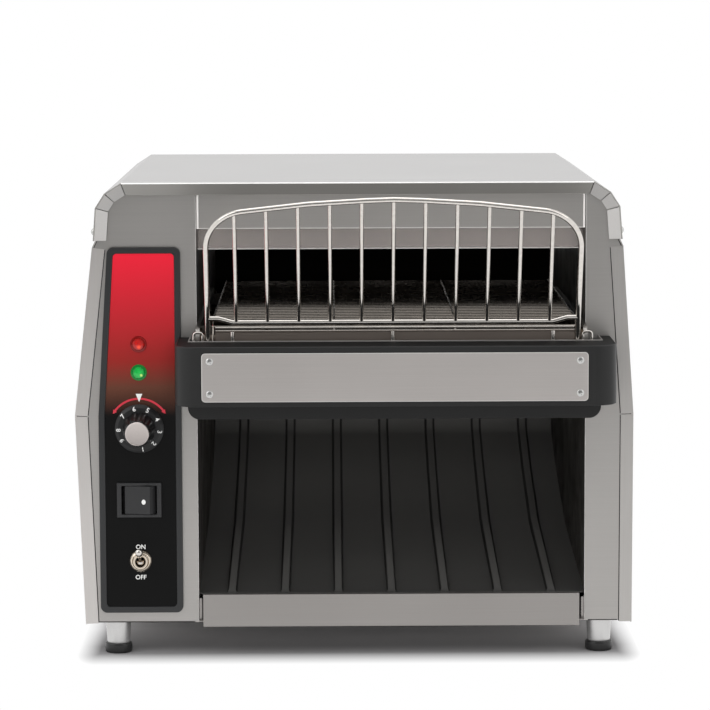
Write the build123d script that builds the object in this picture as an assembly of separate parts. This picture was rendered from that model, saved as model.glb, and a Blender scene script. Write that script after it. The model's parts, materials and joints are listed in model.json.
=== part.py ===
"""Conveyor toaster, in millimetres, +Z up.

The origin is on the floor under the middle of the whole object. The front faces -Y, and the
controls are on the left as one looks at the front. Depths are measured from the front panel:
behind(d) is d further in, ahead(d) is d nearer to the user.
"""
import os
from math import atan, cos, hypot, pi, radians, sin, sqrt, tan

from build123d import *

# ---- Sheet metal and clearances
SHEET = 1.0                  # wall of every folded sheet
FACE_SHEET = 1.2             # wall of the front panel
LAP = 0.1                    # play between sheets that lap
FIT = 0.05                   # radial play of a shaft in its bush
SEAT = 0.3                   # play under and beside loose parts
SCREW_R, SCREW_HEAD_R, SCREW_HEAD_H, SCREW_L = 1.5, 2.7, 2.6, 7.0
OVER = 5.0                   # how far a cutting shape runs past what it cuts

# ---- Body outline, seen from the front; OUT is sideways from the point above, DROP is from the top
BODY_X = 2.9                 # middle of the body from the middle of its widest width
TOP_Z = 358.5
TOP_FLAT_HALF = 176.3        # half width of the flat top
SHOULDER_OUT, SHOULDER_DROP = 12.4, 7.9
LOW_SHOULDER_OUT, LOW_SHOULDER_DROP = 7.0, 18.7
COVER_SIDE_OUT, COVER_BOTTOM_DROP = 1.8, 43.2
SIDE_TOP_OUT, SIDE_TOP_DROP = 1.4, 48.8
KINK_Z = 182.7
LEFT_KINK_HALF, RIGHT_KINK_HALF = 213.2, 207.3
SIDE_BOTTOM_HALF, SIDE_BOTTOM_Z = 206.9, 23.5
TONGUE_RISE = 14.0           # height of the side's tongue behind the cover

# ---- Depths from the front panel
COVER_OVERHANG = 10.0        # front edge of the cover ahead of the panel
BODY_DEPTH = 402.0           # rear edge of the body behind the panel
BEVEL_WIDTH = 9.5            # the cover's bevelled front rim, seen from the front
FLANGE_WIDTH = 9.5           # flat rims of the sides
SEAM = 0.6                   # open seam between rims at each corner

# ---- Base and feet
BASE_GAP = 1.1               # underside of the base pan above the sides' bottom edges
BASE_RIM_H = 12.0
FOOT_SIDE_IN = 23.9          # feet from the sides' bottom edges
FRONT_FOOT_IN, REAR_FOOT_IN = 12.0, 17.0
LEG_TOP_R, LEG_FOOT_R = 9.6, 8.8
PAD_R, PAD_H, PAD_ROUND = 10.3, 7.3, 1.2

# ---- Front opening, hood and tunnel; the tunnel's walls keep these distances from the body's outline
LEFT_BAY_TOP, LEFT_BAY_KINK, LEFT_BAY_BOTTOM = 77.8, 92.1, 85.8
RIGHT_BAY_TOP, RIGHT_BAY_KINK, RIGHT_BAY_BOTTOM = 28.0, 36.4, 36.0
OPENING_DROP, WALL_DROP = 9.8, 12.5
HOOD_DROP, HOOD_IN, HOOD_RETURN = 35.2, 2.0, 8.0
INNER_HOOD_DROP, INNER_HOOD_IN = 53.0, 30.0

# ---- Belt
BELT_PITCH, BELT_TEETH, BELT_RUN_PITCHES = 12.0, 8, 25
BELT_TOP_Z, BELT_WIRE = 257.5, 1.8
BELT_SHIFT, BELT_SIDE_GAP = 2.2, 10.0
BELT_LINK_W, BELT_LINK_LINES = 2.6, 4
BELT_FRONT_AHEAD = 10.0      # front shaft ahead of the panel
SHAFT_R = 5.0
DISC_W, DISC_HUB_R, DISC_HUB_W = 6.0, 9.0, 12.0
OUTER_DISC_IN, INNER_DISC_OFFSET = 36.0, 26.0
RAIL_W, RAIL_H, RAIL_OVERHANG = 3.0, 22.0, 11.0
BUSH_R, BUSH_COLLAR_R, BUSH_COLLAR_W = 7.0, 9.0, 1.5

# ---- Heaters and reflectors
HEATER_R, HEATER_STUB = 4.0, 7.0
HEATER_COUNT, HEATER_FIRST_IN, HEATER_PITCH = 4, 55.0, 55.0
UPPER_REFLECTOR_DROP, UPPER_HEATER_GAP = 25.5, 13.0
REFLECTOR_PAST, REFLECTOR_LIP = 2.0, 20.0
PAN_FRONT_GAP, PAN_REAR_GAP, PAN_FLOOR_DROP, PAN_WALL_DROP = 19.0, 26.0, 10.0, 8.0

# ---- Discharge chute and crumb tray
CHUTE_IN, CHUTE_REAR_GAP = 4.0, 30.0
CHUTE_LOW_KNEE, CHUTE_HIGH_KNEE = 170.0, 68.0      # ahead of the chute's rear wall
CHUTE_FRONT_Z, CHUTE_LOW_KNEE_Z, CHUTE_HIGH_KNEE_Z, CHUTE_REAR_Z = 46.5, 66.5, 95.5, 121.5
CHUTE_RISE, CHUTE_BEND_R, CHUTE_BEND_STEPS, CHUTE_WALL = 118.0, 18.0, 6, 1.2
CHUTE_RIBS, CHUTE_RIB_SIDE, CHUTE_RIB_W, CHUTE_RIB_H = 7, 25.1, 7.0, 2.6
LIP_SHIFT, LIP_SIDE_GAP, LIP_BELOW, LIP_TOP_GAP, LIP_AHEAD = -0.4, 3.8, 1.2, 0.5, 7.0
LIP_HEM = 5.0
TRAY_REAR_GAP, TRAY_WALL_H = 112.0, 8.0
TRAY_TAB_W, TRAY_TAB_H = 2.2, 17.0

# ---- Shelf: bumper, its mounting plate and the catch tray in it
SHELF_SHIFT, SHELF_DROP = 2.4, 15.2                # from the opening's middle, and below the belt
BUMPER_PAST, BUMPER_REACH, BUMPER_H = 16.2, 70.0, 44.3
BUMPER_CORNER_R, BUMPER_WALL, BUMPER_EDGE_R = 17.0, 2.5, 1.5
MOUNT_PAST, MOUNT_BELOW, MOUNT_LEDGE_RISE, MOUNT_CORNER_R = 9.3, 18.0, 7.0, 9.0
CATCH_PAST, CATCH_REACH, CATCH_RIM = 7.4, 38.0, 0.8
BADGE_SHIFT, BADGE_SIDE_GAP, BADGE_LOW_GAP, BADGE_HIGH_GAP = -1.0, 21.2, 4.0, 5.0
BADGE_THICK, BADGE_CORNER_R = 1.2, 2.5
BADGE_SCREW_IN, BADGE_SCREW_Z = 5.6, 12.0
BADGE_SCREW_R, BADGE_SCREW_FACE_R, BADGE_SCREW_H = 2.6, 1.6, 1.2

# ---- Loading guard
GUARD_SHIFT, GUARD_SIDE_GAP = 0.5, 9.3
GUARD_FOOT_GAP, GUARD_BEND_RISE, GUARD_TOP_DROP, GUARD_LEAN = 0.5, 1.7, 7.5, 24.5
ARCH_R, ROD_R, CROSS_R = 2.0, 1.5, 1.9
ARCH_STEPS = ((0.0, 27.5), (22.0, 10.0), (75.2, 4.0))      # (in from a leg, down from the top)
ARCH_BENDS = (24.0, 24.0, 120.0)
ARCH_CROWN_R, ARCH_FOOT_R = 300.0, 8.0
CROSS_RISE, CROSS_STEP, CROSS_CRANK, CROSS_PAST, CROSS_BEND = 15.0, 3.0, 10.0, 3.0, 6.0
RODS, ROD_SIDE_GAP = 11, 21.2
PEG_SIDE_GAP, PEG_RISE, PEG_R = 18.2, 7.4, 1.7
STAPLE_GAP, STAPLE_SPAN, STAPLE_RISE, STAPLE_R, STAPLE_BEND = 4.0, 6.5, 6.7, 1.0, 2.2

# ---- Control bezel, label and controls
BEZEL_LOW_GAP, BEZEL_KINK_GAP, BEZEL_TOP_GAP, BEZEL_WALL_GAP = 11.6, 17.9, 11.4, 11.8
BEZEL_RISE, BEZEL_TOP_RISE = 9.3, 0.3              # above the sides' bottom and top edges
BEZEL_THICK, BEZEL_RIM, BEZEL_CORNER_R = 4.0, 4.6, 5.0
LABEL_SINK, LABEL_THICK, LABEL_CORNER_R = 1.5, 0.8, 3.0
CONTROL_IN = 31.8                                  # controls from the bezel's right edge
POWER_LAMP_Z, READY_LAMP_Z = 237.2, 215.8
LAMP_R, LAMP_NECK_R, LAMP_FACE_R, LAMP_RIM, LAMP_DOME = 6.2, 5.7, 3.7, 1.0, 2.4
LAMP_BODY_R, LAMP_BODY_L = 5.0, 24.0
DIAL_Z, DIAL_R, DIAL_THICK, DIAL_GAP, DIAL_RIM, DIAL_SLOPE = 173.4, 18.4, 3.0, 0.5, 1.0, 2.5
KNOB_R, KNOB_FRONT_R, KNOB_L, KNOB_FLUTES, FLUTE_R, FLUTE_OUT = 12.6, 9.9, 26.0, 10, 2.0, 1.1
CAP_R, CAP_THICK = 8.8, 0.8
POT_SHAFT_R, POT_R, POT_L, POT_BUSH_R, POT_BORE_L, POT_SHAFT_OUT = 3.0, 12.0, 14.0, 4.8, 11.0, 22.0
ROCKER_SHIFT, ROCKER_Z, ROCKER_FRAME_HALF_X, ROCKER_FRAME_HALF_Z = -0.6, 119.2, 16.8, 13.2
ROCKER_FRAME_THICK, ROCKER_SWING_R, ROCKER_HALF_Z, ROCKER_TILT = 2.7, 13.0, 10.6, 10.0
ROCKER_PIVOT_IN, ROCKER_BODY_L, ROCKER_BODY_WALL = 1.0, 22.0, 1.2
ROCKER_PIN_R, ROCKER_PIN_HOLD = 1.5, 1.5
ROCKER_PROFILE = ((12.4, 3.0), (12.7, -2.0), (9.5, -7.5), (0.0, -6.6))   # half of it, from its pivot
TOGGLE_Z, TOGGLE_NUT_R, TOGGLE_NUT_FACE_R, TOGGLE_RIM, TOGGLE_NUT_L = 72.6, 8.2, 6.8, 2.0, 3.4
TOGGLE_BUSH_R, TOGGLE_BORE_R, TOGGLE_BUSH_L, TOGGLE_PIVOT_IN, TOGGLE_TILT = 6.0, 4.0, 6.0, 3.0, 28.0
LEVER_L, LEVER_NECK_L, LEVER_BALL_R, LEVER_NECK_R, LEVER_TIP_R = 22.0, 7.0, 3.3, 1.5, 2.9
TOGGLE_BODY_W, TOGGLE_BODY_H, TOGGLE_BODY_L = 14.0, 28.0, 20.0

# ---- Drive in the left bay
COUPLING_OUT, COUPLING_R, COUPLING_L = 12.0, 8.0, 16.0
STANDOFF_R, STANDOFF_L, STANDOFF_IN = 4.0, 26.0, 6.0
GEARBOX_W, GEARBOX_HALF, GEARBOX_CORNER_R = 36.0, 28.0, 4.0
MOTOR_R, MOTOR_L, MOTOR_CAP_R, MOTOR_CAP_L = 17.0, 62.0, 6.0, 4.0
OUTPUT_R, OUTPUT_COLLAR_R, OUTPUT_COLLAR_L = 4.0, 7.0, 2.5
BOARD_IN, BOARD_Z, BOARD_L, BOARD_H, BOARD_THICK = 90.0, 215.0, 80.0, 60.0, 1.6
BOARD_POST_R, BOARD_POST_L, BOARD_POST_IN, BOARD_CHIP, BOARD_CHIP_H = 2.5, 12.0, 6.0, 20.0, 14.0

# ---- Fan, terminals and rear panel
BAY_MIDDLE = 41.8                                  # middle of the left bay from the tunnel's wall
FAN_Z, FAN_HALF, FAN_DEPTH, FAN_BORE_R = 130.0, 30.0, 18.0, 27.5
FAN_BLADE_R, FAN_HUB_R, FAN_BLADES, FAN_PIN_R, FAN_SPOKE = 26.5, 11.0, 5, 2.0, 3.0
FAN_BLADE_THICK, FAN_BLADE_PITCH = 1.4, 35.0
TERMINAL_REAR_GAP, TERMINAL_W, TERMINAL_L, TERMINAL_H = 72.0, 22.0, 56.0, 16.0
TERMINAL_WELLS, TERMINAL_WELL_R, TERMINAL_WELL_L = 5, 3.0, 5.0
INLET_Z, INLET_R, INLET_TAPER = 62.0, 12.0, 2.0
INLET_BORE_R, INLET_HOLE_R, INLET_OUT, INLET_INSIDE = 5.5, 8.0, 9.0, 11.0
VENT_ROWS, VENT_PITCH, VENT_H, VENT_HALF, VENT_DROP, VENT_COLUMN_PITCH = 5, 9.0, 4.0, 30.0, 30.5, 95.0
LOUVRES, LOUVRE_PITCH, LOUVRE_W, LOUVRE_REAR_GAP = 8, 14.0, 5.0, 172.0
LOUVRE_BOTTOM_Z, LOUVRE_TOP_Z = 60.0, 120.0
REAR_SCREW_LOW_IN, REAR_SCREW_LOW_Z = 28.9, 60.0   # from the sides' bottom edges, and height
REAR_SCREW_HIGH_IN, REAR_SCREW_DROP = 20.9, 33.5   # from the sides' top edges, and from the top
COVER_SCREW_RISE, COVER_SCREW_FRONT_IN, COVER_SCREW_REAR_GAP = 5.7, 6.0, 30.0

# ---- Outline points worked out from the sizes above
SHOULDER_HALF = TOP_FLAT_HALF + SHOULDER_OUT
LOW_SHOULDER_HALF = SHOULDER_HALF + LOW_SHOULDER_OUT
COVER_SIDE_HALF = LOW_SHOULDER_HALF + COVER_SIDE_OUT
SIDE_TOP_HALF = COVER_SIDE_HALF + SIDE_TOP_OUT
SHOULDER_Z = TOP_Z - SHOULDER_DROP
LOW_SHOULDER_Z = TOP_Z - LOW_SHOULDER_DROP
COVER_BOTTOM_Z = TOP_Z - COVER_BOTTOM_DROP
SIDE_TOP_Z = TOP_Z - SIDE_TOP_DROP
COVER_SCREW_Z = COVER_BOTTOM_Z + COVER_SCREW_RISE
BASE_Z = SIDE_BOTTOM_Z + BASE_GAP
BASE_TOP_Z = BASE_Z + SHEET

# ---- Tunnel and belt
LEFT_WALL_X = BODY_X - min(SIDE_TOP_HALF - LEFT_BAY_TOP, LEFT_KINK_HALF - LEFT_BAY_KINK,
                           SIDE_BOTTOM_HALF - LEFT_BAY_BOTTOM)
RIGHT_WALL_X = BODY_X + min(SIDE_TOP_HALF - RIGHT_BAY_TOP, RIGHT_KINK_HALF - RIGHT_BAY_KINK,
                            SIDE_BOTTOM_HALF - RIGHT_BAY_BOTTOM)
OPENING_X = (LEFT_WALL_X + RIGHT_WALL_X) / 2
OPENING_HALF = (RIGHT_WALL_X - LEFT_WALL_X) / 2
WALL_TOP_Z = TOP_Z - WALL_DROP
UPPER_REFLECTOR_Z = TOP_Z - UPPER_REFLECTOR_DROP
UPPER_HEATER_Z = UPPER_REFLECTOR_Z - UPPER_HEATER_GAP
BELT_X, BELT_HALF = OPENING_X + BELT_SHIFT, OPENING_HALF - BELT_SIDE_GAP
BELT_R = BELT_PITCH / (2 * sin(pi / BELT_TEETH))
BELT_RUN = BELT_PITCH * BELT_RUN_PITCHES
SHAFT_Z = BELT_TOP_Z - BELT_WIRE / 2 - BELT_R
LOWER_HEATER_Z = SHAFT_Z
DISC_R = BELT_R - BELT_WIRE / sqrt(2) - LAP             # a disc just clears the wires as it turns
DISC_OFFSETS = (OUTER_DISC_IN - BELT_HALF, -INNER_DISC_OFFSET, INNER_DISC_OFFSET, BELT_HALF - OUTER_DISC_IN)
COUPLING_X = LEFT_WALL_X - SHEET - COUPLING_OUT
GEARBOX_X = LEFT_WALL_X - SHEET - STANDOFF_L            # the gear case's right-hand face
BAY_X = LEFT_WALL_X - BAY_MIDDLE

# ---- Shelf and guard
SHELF_X = OPENING_X + SHELF_SHIFT
BUMPER_TOP_Z = BELT_TOP_Z - SHELF_DROP
BUMPER_BOTTOM_Z = BUMPER_TOP_Z - BUMPER_H
MOUNT_LEDGE_Z = BUMPER_BOTTOM_Z + MOUNT_LEDGE_RISE
BUMPER_HALF, MOUNT_HALF, CATCH_HALF = (OPENING_HALF + past for past in (BUMPER_PAST, MOUNT_PAST, CATCH_PAST))
BADGE_X, BADGE_HALF = SHELF_X + BADGE_SHIFT, BUMPER_HALF - BADGE_SIDE_GAP
BADGE_BOTTOM_Z, BADGE_TOP_Z = BUMPER_BOTTOM_Z + BADGE_LOW_GAP, BUMPER_TOP_Z - BADGE_HIGH_GAP
GUARD_X, GUARD_HALF = OPENING_X + GUARD_SHIFT, OPENING_HALF - GUARD_SIDE_GAP
GUARD_FOOT_AHEAD = CATCH_REACH - SHEET - ARCH_R - GUARD_FOOT_GAP
GUARD_BEND_Z = BUMPER_TOP_Z + GUARD_BEND_RISE
GUARD_TOP_Z = TOP_Z - GUARD_TOP_DROP
GUARD_SLOPE = tan(radians(GUARD_LEAN))
ARCH_CORNERS = [(GUARD_HALF - inside, GUARD_TOP_Z - drop) for inside, drop in ARCH_STEPS]
CROSS_Z = BUMPER_TOP_Z + CROSS_RISE
ROD_PITCH = 2 * (GUARD_HALF - ROD_SIDE_GAP) / (RODS - 1)

# ---- Controls
LABEL_FACE = BEZEL_THICK - LABEL_SINK + LABEL_THICK     # label's face ahead of the panel
BEZEL_RIGHT_X = LEFT_WALL_X - BEZEL_WALL_GAP
BEZEL_BOTTOM_Z, BEZEL_TOP_Z = SIDE_BOTTOM_Z + BEZEL_RISE, SIDE_TOP_Z + BEZEL_TOP_RISE
CONTROL_X = BEZEL_RIGHT_X - CONTROL_IN
ROCKER_X = CONTROL_X + ROCKER_SHIFT

# ---- Depth of the whole object, and the front panel's place in it
FRONT_REACH = GUARD_FOOT_AHEAD + GUARD_SLOPE * (GUARD_TOP_Z - GUARD_BEND_Z) + ARCH_R
REAR_REACH = BODY_DEPTH + INLET_OUT
PANEL_Y = (FRONT_REACH - REAR_REACH) / 2


def behind(depth):
    """Y of a plane that lies a depth behind the front panel's face."""
    return PANEL_Y + depth


def ahead(depth):
    """Y of a plane that lies a depth in front of the front panel's face."""
    return PANEL_Y - depth


DRIVE_Y = behind(BELT_RUN - BELT_FRONT_AHEAD)
IDLER_Y = ahead(BELT_FRONT_AHEAD)
PIVOT_Y = ahead(LABEL_FACE + TOGGLE_BUSH_L - TOGGLE_PIVOT_IN)
HEATER_YS = [behind(HEATER_FIRST_IN + i * HEATER_PITCH) for i in range(HEATER_COUNT)]


# ---- Shapes
def block(x0, x1, y0, y1, z0, z1):
    """A box between two corners."""
    return Pos((x0 + x1) / 2, (y0 + y1) / 2, (z0 + z1) / 2) * Box(x1 - x0, y1 - y0, z1 - z0)


def rod(start, end, radius, end_radius=None):
    """A round bar between two points, tapered where it has an end radius."""
    start, end = Vector(*start), Vector(*end)
    plane = Plane(origin=start, z_dir=end - start)
    if end_radius is None:
        return Solid.make_cylinder(radius, (end - start).length, plane)
    return Solid.make_cone(radius, end_radius, (end - start).length, plane)


def along_y(x, z, radius, y0, y1, end_radius=None):
    """A round bar along Y."""
    return rod((x, y0, z), (x, y1, z), radius, end_radius)


def along_x(y, z, radius, x0, x1, end_radius=None):
    """A round bar along X."""
    return rod((x0, y, z), (x1, y, z), radius, end_radius)


def slab(outline, y0, y1, radius=0):
    """A front-view outline of (x, z) points, made solid from y0 to y1, with rounded corners."""
    solid = extrude(make_face(Polyline([(x, y0, z) for x, z in outline], close=True)),
                    amount=y1 - y0, dir=(0, 1, 0))
    return fillet(solid.edges().filter_by(Axis.Y), radius) if radius else solid


def bar_x(outline, x0, x1):
    """A side-view outline of (y, z) points, made solid from x0 to x1."""
    return extrude(make_face(Polyline([(x0, y, z) for y, z in outline], close=True)),
                   amount=x1 - x0, dir=(1, 0, 0))


def wire_along(points, bends, radius):
    """Round wire along a bent line, with one bend radius for each inner point."""
    path = FilletPolyline(*points, radius=bends)
    start = Plane(origin=path @ 0, z_dir=path % 0)
    return sweep(start * Circle(radius), path=path)


def wedge(quad_a, quad_b):
    """The solid between two four-sided sections."""
    sections = [Wire(Polyline(*quad, close=True)) for quad in (quad_a, quad_b)]
    return Solid.make_loft(sections, ruled=True)


def group(solids):
    """Several separate solids as one node."""
    return Compound(children=[s if isinstance(s, Solid) else s.solids()[0] for s in solids])


def inset(path, distance):
    """An open line of points moved to its right-hand side, with mitred corners."""
    normals = []
    for (x0, z0), (x1, z1) in zip(path, path[1:]):
        length = hypot(x1 - x0, z1 - z0)
        normals.append(((z1 - z0) / length, (x0 - x1) / length))
    moved = []
    for i, (x, z) in enumerate(path):
        (ax, az), (bx, bz) = normals[max(i - 1, 0)], normals[min(i, len(normals) - 1)]
        mx, mz = ax + bx, az + bz
        share = 2 * distance / (mx * mx + mz * mz)
        moved.append((x + mx * share, z + mz * share))
    return moved


def strip(path, thickness, y0, y1):
    """Sheet that follows an open line of points, from y0 to y1."""
    return slab(path + inset(path, thickness)[::-1], y0, y1)


def segments(path, width):
    """The four-sided pieces of a rim on the right-hand side of a line, parted at the corners."""
    inner = inset(path, width)
    for i, ((x0, z0), (x1, z1)) in enumerate(zip(path, path[1:])):
        length = hypot(x1 - x0, z1 - z0)
        ux, uz = (x1 - x0) / length * SEAM / 2, (z1 - z0) / length * SEAM / 2
        yield ((x0 + ux, z0 + uz), (x1 - ux, z1 - uz),
               (inner[i + 1][0] - ux, inner[i + 1][1] - uz), (inner[i][0] + ux, inner[i][1] + uz))


# ---- Outlines
def cover_path():
    """The cover's outline from its lower left edge over the top to its lower right edge."""
    half = [(COVER_SIDE_HALF, COVER_BOTTOM_Z), (LOW_SHOULDER_HALF, LOW_SHOULDER_Z),
            (SHOULDER_HALF, SHOULDER_Z), (TOP_FLAT_HALF, TOP_Z)]
    return [(BODY_X - x, z) for x, z in half] + [(BODY_X + x, z) for x, z in half[::-1]]


def cover_half(z):
    """The cover's half width at a height on its upright sides."""
    share = (z - COVER_BOTTOM_Z) / (LOW_SHOULDER_Z - COVER_BOTTOM_Z)
    return COVER_SIDE_HALF + (LOW_SHOULDER_HALF - COVER_SIDE_HALF) * share


def side_path(side):
    """A side's outline from bottom to top. side is -1 for the left and 1 for the right."""
    kink = LEFT_KINK_HALF if side < 0 else RIGHT_KINK_HALF
    points = [(SIDE_BOTTOM_HALF, SIDE_BOTTOM_Z), (kink, KINK_Z), (SIDE_TOP_HALF, SIDE_TOP_Z)]
    return [(BODY_X + side * x, z) for x, z in points]


def side_half(side, z):
    """A side's outer half width at a height below its kink."""
    kink = LEFT_KINK_HALF if side < 0 else RIGHT_KINK_HALF
    return SIDE_BOTTOM_HALF + (kink - SIDE_BOTTOM_HALF) * (z - SIDE_BOTTOM_Z) / (KINK_Z - SIDE_BOTTOM_Z)


def tongue_path(side):
    """The side's joggle and tongue, which go up behind the cover."""
    low, high = COVER_BOTTOM_Z, COVER_BOTTOM_Z + TONGUE_RISE
    gap = SHEET + SEAT
    return [(BODY_X + side * (cover_half(z) - gap), z) for z in (low, high)]


def body_outline(side_gap, cover_gap):
    """A closed outline inside the sides and the cover, for the front and rear panels."""
    left = inset(side_path(-1), side_gap)
    right = inset(side_path(1)[::-1], side_gap)
    top = inset(cover_path(), cover_gap)
    return [(left[0][0], BASE_Z)] + left[1:] + top + right[:-1] + [(right[-1][0], BASE_Z)]


def bezel_outline(shrink=0.0):
    """The control bezel's outline, clockwise from the lower left corner, moved inwards."""
    low = (BODY_X - SIDE_BOTTOM_HALF + BEZEL_LOW_GAP, BEZEL_BOTTOM_Z)
    kink = (BODY_X - LEFT_KINK_HALF + BEZEL_KINK_GAP, KINK_Z)
    top = (BODY_X - SIDE_TOP_HALF + BEZEL_TOP_GAP, BEZEL_TOP_Z)
    path = [(BEZEL_RIGHT_X, BEZEL_BOTTOM_Z), low, kink, top, (BEZEL_RIGHT_X, BEZEL_TOP_Z),
            (BEZEL_RIGHT_X, BEZEL_BOTTOM_Z), low]
    return inset(path, shrink)[1:6]


# ---- Housing
def top_cover():
    """Folded cover: flat top, two bevels and an upright on each side, and rims front and rear."""
    path = cover_path()
    cover = strip(path, SHEET, ahead(COVER_OVERHANG), behind(BODY_DEPTH))
    back = SHEET * sqrt(2)
    rims = []
    for a, b, c, d in segments(path, BEVEL_WIDTH):
        front, rear = ahead(COVER_OVERHANG), ahead(SHEET + LAP)

        def section(outer, inner):
            return [(outer[0], front, outer[1]), (outer[0], front + back, outer[1]),
                    (inner[0], rear, inner[1]), (inner[0], rear - back, inner[1])]

        rims.append(wedge(section(a, d), section(b, c)))
        rims.append(slab([a, b, c, d], behind(BODY_DEPTH - SHEET), behind(BODY_DEPTH)))
    cover = cover.fuse(*rims)
    for y in cover_screw_ys():
        for side in (-1, 1):
            x = BODY_X + side * COVER_SIDE_HALF
            cover -= along_x(y, COVER_SCREW_Z, SCREW_R, x - OVER, x + OVER)
    return cover


def cover_screw_ys():
    """Y of the cover's screws, front and rear."""
    return behind(COVER_SCREW_FRONT_IN), behind(BODY_DEPTH - COVER_SCREW_REAR_GAP)


def side_panel(side):
    """Flared side with rims at its front and rear, a tongue behind the cover and louvres."""
    path = side_path(side)
    full = path + tongue_path(side)
    turn = side > 0
    panel = strip(full[::-1] if turn else full, SHEET, ahead(SHEET), behind(BODY_DEPTH))
    tongue_end = behind(BODY_DEPTH - SHEET - LAP)
    panel -= block(BODY_X - COVER_SIDE_HALF, BODY_X + COVER_SIDE_HALF, tongue_end,
                   behind(BODY_DEPTH + OVER), COVER_BOTTOM_Z - LAP, TOP_Z)
    rims = []
    for quad in segments(path[::-1] if turn else path, FLANGE_WIDTH):
        rims.append(slab(list(quad), ahead(SHEET), ahead(0)))
        rims.append(slab(list(quad), behind(BODY_DEPTH - SHEET), behind(BODY_DEPTH)))
    panel = panel.fuse(*rims)
    for i in range(LOUVRES):
        y = behind(BODY_DEPTH - LOUVRE_REAR_GAP + i * LOUVRE_PITCH)
        low, high = sorted(BODY_X + side * side_half(side, z) for z in (LOUVRE_BOTTOM_Z, LOUVRE_TOP_Z))
        panel -= block(low - OVER, high + OVER, y, y + LOUVRE_W, LOUVRE_BOTTOM_Z, LOUVRE_TOP_Z)
    for y in cover_screw_ys():
        x = BODY_X + side * COVER_SIDE_HALF
        panel -= along_x(y, COVER_SCREW_Z, SCREW_R, x - OVER, x + OVER)
    return panel


def front_fascia():
    """Flat front panel with the tall opening and the holes of the controls."""
    panel = slab(body_outline(SHEET + LAP, 2 * SHEET + SEAT + LAP), behind(0), behind(FACE_SHEET))
    panel -= block(LEFT_WALL_X, RIGHT_WALL_X, ahead(OVER), behind(OVER), BASE_Z - OVER, TOP_Z - OPENING_DROP)
    return panel - control_holes()


def control_holes():
    """The holes that the controls pass through, as one solid for each control."""
    y0, y1 = ahead(BEZEL_THICK + OVER), behind(FACE_SHEET + OVER)
    width = ROCKER_SWING_R + SEAT + ROCKER_BODY_WALL + LAP
    height = ROCKER_HALF_Z + SEAT + ROCKER_BODY_WALL + LAP
    return [
        along_y(CONTROL_X, POWER_LAMP_Z, LAMP_BODY_R + LAP, y0, y1),
        along_y(CONTROL_X, READY_LAMP_Z, LAMP_BODY_R + LAP, y0, y1),
        along_y(CONTROL_X, DIAL_Z, POT_BUSH_R + LAP, y0, y1),
        block(ROCKER_X - width, ROCKER_X + width, y0, y1, ROCKER_Z - height, ROCKER_Z + height),
        along_y(CONTROL_X, TOGGLE_Z, TOGGLE_BUSH_R + LAP, y0, y1),
    ]


def rear_panel():
    """Flat rear panel with vents, the fan's hole and the cord inlet's hole."""
    y0, y1 = behind(BODY_DEPTH - 2 * SHEET), behind(BODY_DEPTH - SHEET)
    panel = slab(body_outline(SHEET + LAP, 2 * SHEET + SEAT + LAP), y0, y1)
    cuts = [along_y(BAY_X, FAN_Z, FAN_BORE_R, y0 - OVER, y1 + OVER),
            along_y(BAY_X, INLET_Z, INLET_HOLE_R, y0 - OVER, y1 + OVER)]
    for column in (BELT_X - VENT_COLUMN_PITCH, BELT_X, BELT_X + VENT_COLUMN_PITCH):
        for row in range(VENT_ROWS):
            z = TOP_Z - VENT_DROP - row * VENT_PITCH
            cuts.append(block(column - VENT_HALF, column + VENT_HALF, y0 - OVER, y1 + OVER, z - VENT_H, z))
    return panel - cuts


def base_pan():
    """Folded floor of the body, with a rim up its left, right and rear edges."""
    rim_top = BASE_Z + BASE_RIM_H
    left, right = (BODY_X + side * (min(SIDE_BOTTOM_HALF, side_half(side, rim_top)) - SHEET - LAP)
                   for side in (-1, 1))
    y0, y1 = behind(FACE_SHEET), behind(BODY_DEPTH - 2 * SHEET)
    pan = block(left, right, y0, y1, BASE_Z, BASE_TOP_Z)
    for x in (left, right - SHEET):
        pan += block(x, x + SHEET, y0, y1, BASE_Z, rim_top)
    pan += block(left, right, y1 - SHEET, y1, BASE_Z, rim_top)
    return pan


def housing_screws():
    """Pan-head screws of the cover's sides and the rear panel."""
    screws = []
    for side in (-1, 1):
        face = BODY_X + side * cover_half(COVER_SCREW_Z - SCREW_HEAD_R)
        for y in cover_screw_ys():
            shank = along_x(y, COVER_SCREW_Z, SCREW_R, face, face - side * SCREW_L)
            head = along_x(y, COVER_SCREW_Z, SCREW_HEAD_R, face, face + side * SCREW_HEAD_H)
            screws.append(shank + head)
    y = behind(BODY_DEPTH - SHEET)
    low = (SIDE_BOTTOM_HALF - REAR_SCREW_LOW_IN, REAR_SCREW_LOW_Z)
    high = (SIDE_TOP_HALF - REAR_SCREW_HIGH_IN, TOP_Z - REAR_SCREW_DROP)
    for side in (-1, 1):
        for half, z in (low, high):
            screws.append(along_y(BODY_X + side * half, z, SCREW_HEAD_R, y, y + SCREW_HEAD_H))
    return group(screws)


def foot_centres():
    """(x, y) of the four feet."""
    for y in (behind(FRONT_FOOT_IN), behind(BODY_DEPTH - REAR_FOOT_IN)):
        for side in (-1, 1):
            yield BODY_X + side * (SIDE_BOTTOM_HALF - FOOT_SIDE_IN), y


def foot_legs():
    """Tapered metal legs under the base pan."""
    return group([rod((x, y, PAD_H), (x, y, BASE_Z), LEG_FOOT_R, LEG_TOP_R)
                  for x, y in foot_centres()])


def foot_pads():
    """Rubber pads under the legs."""
    pad = Pos(0, 0, PAD_H / 2) * Cylinder(PAD_R, PAD_H)
    pad = fillet(pad.edges().filter_by(GeomType.CIRCLE), PAD_ROUND)
    return group([Pos(x, y, 0) * pad for x, y in foot_centres()])


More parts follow.
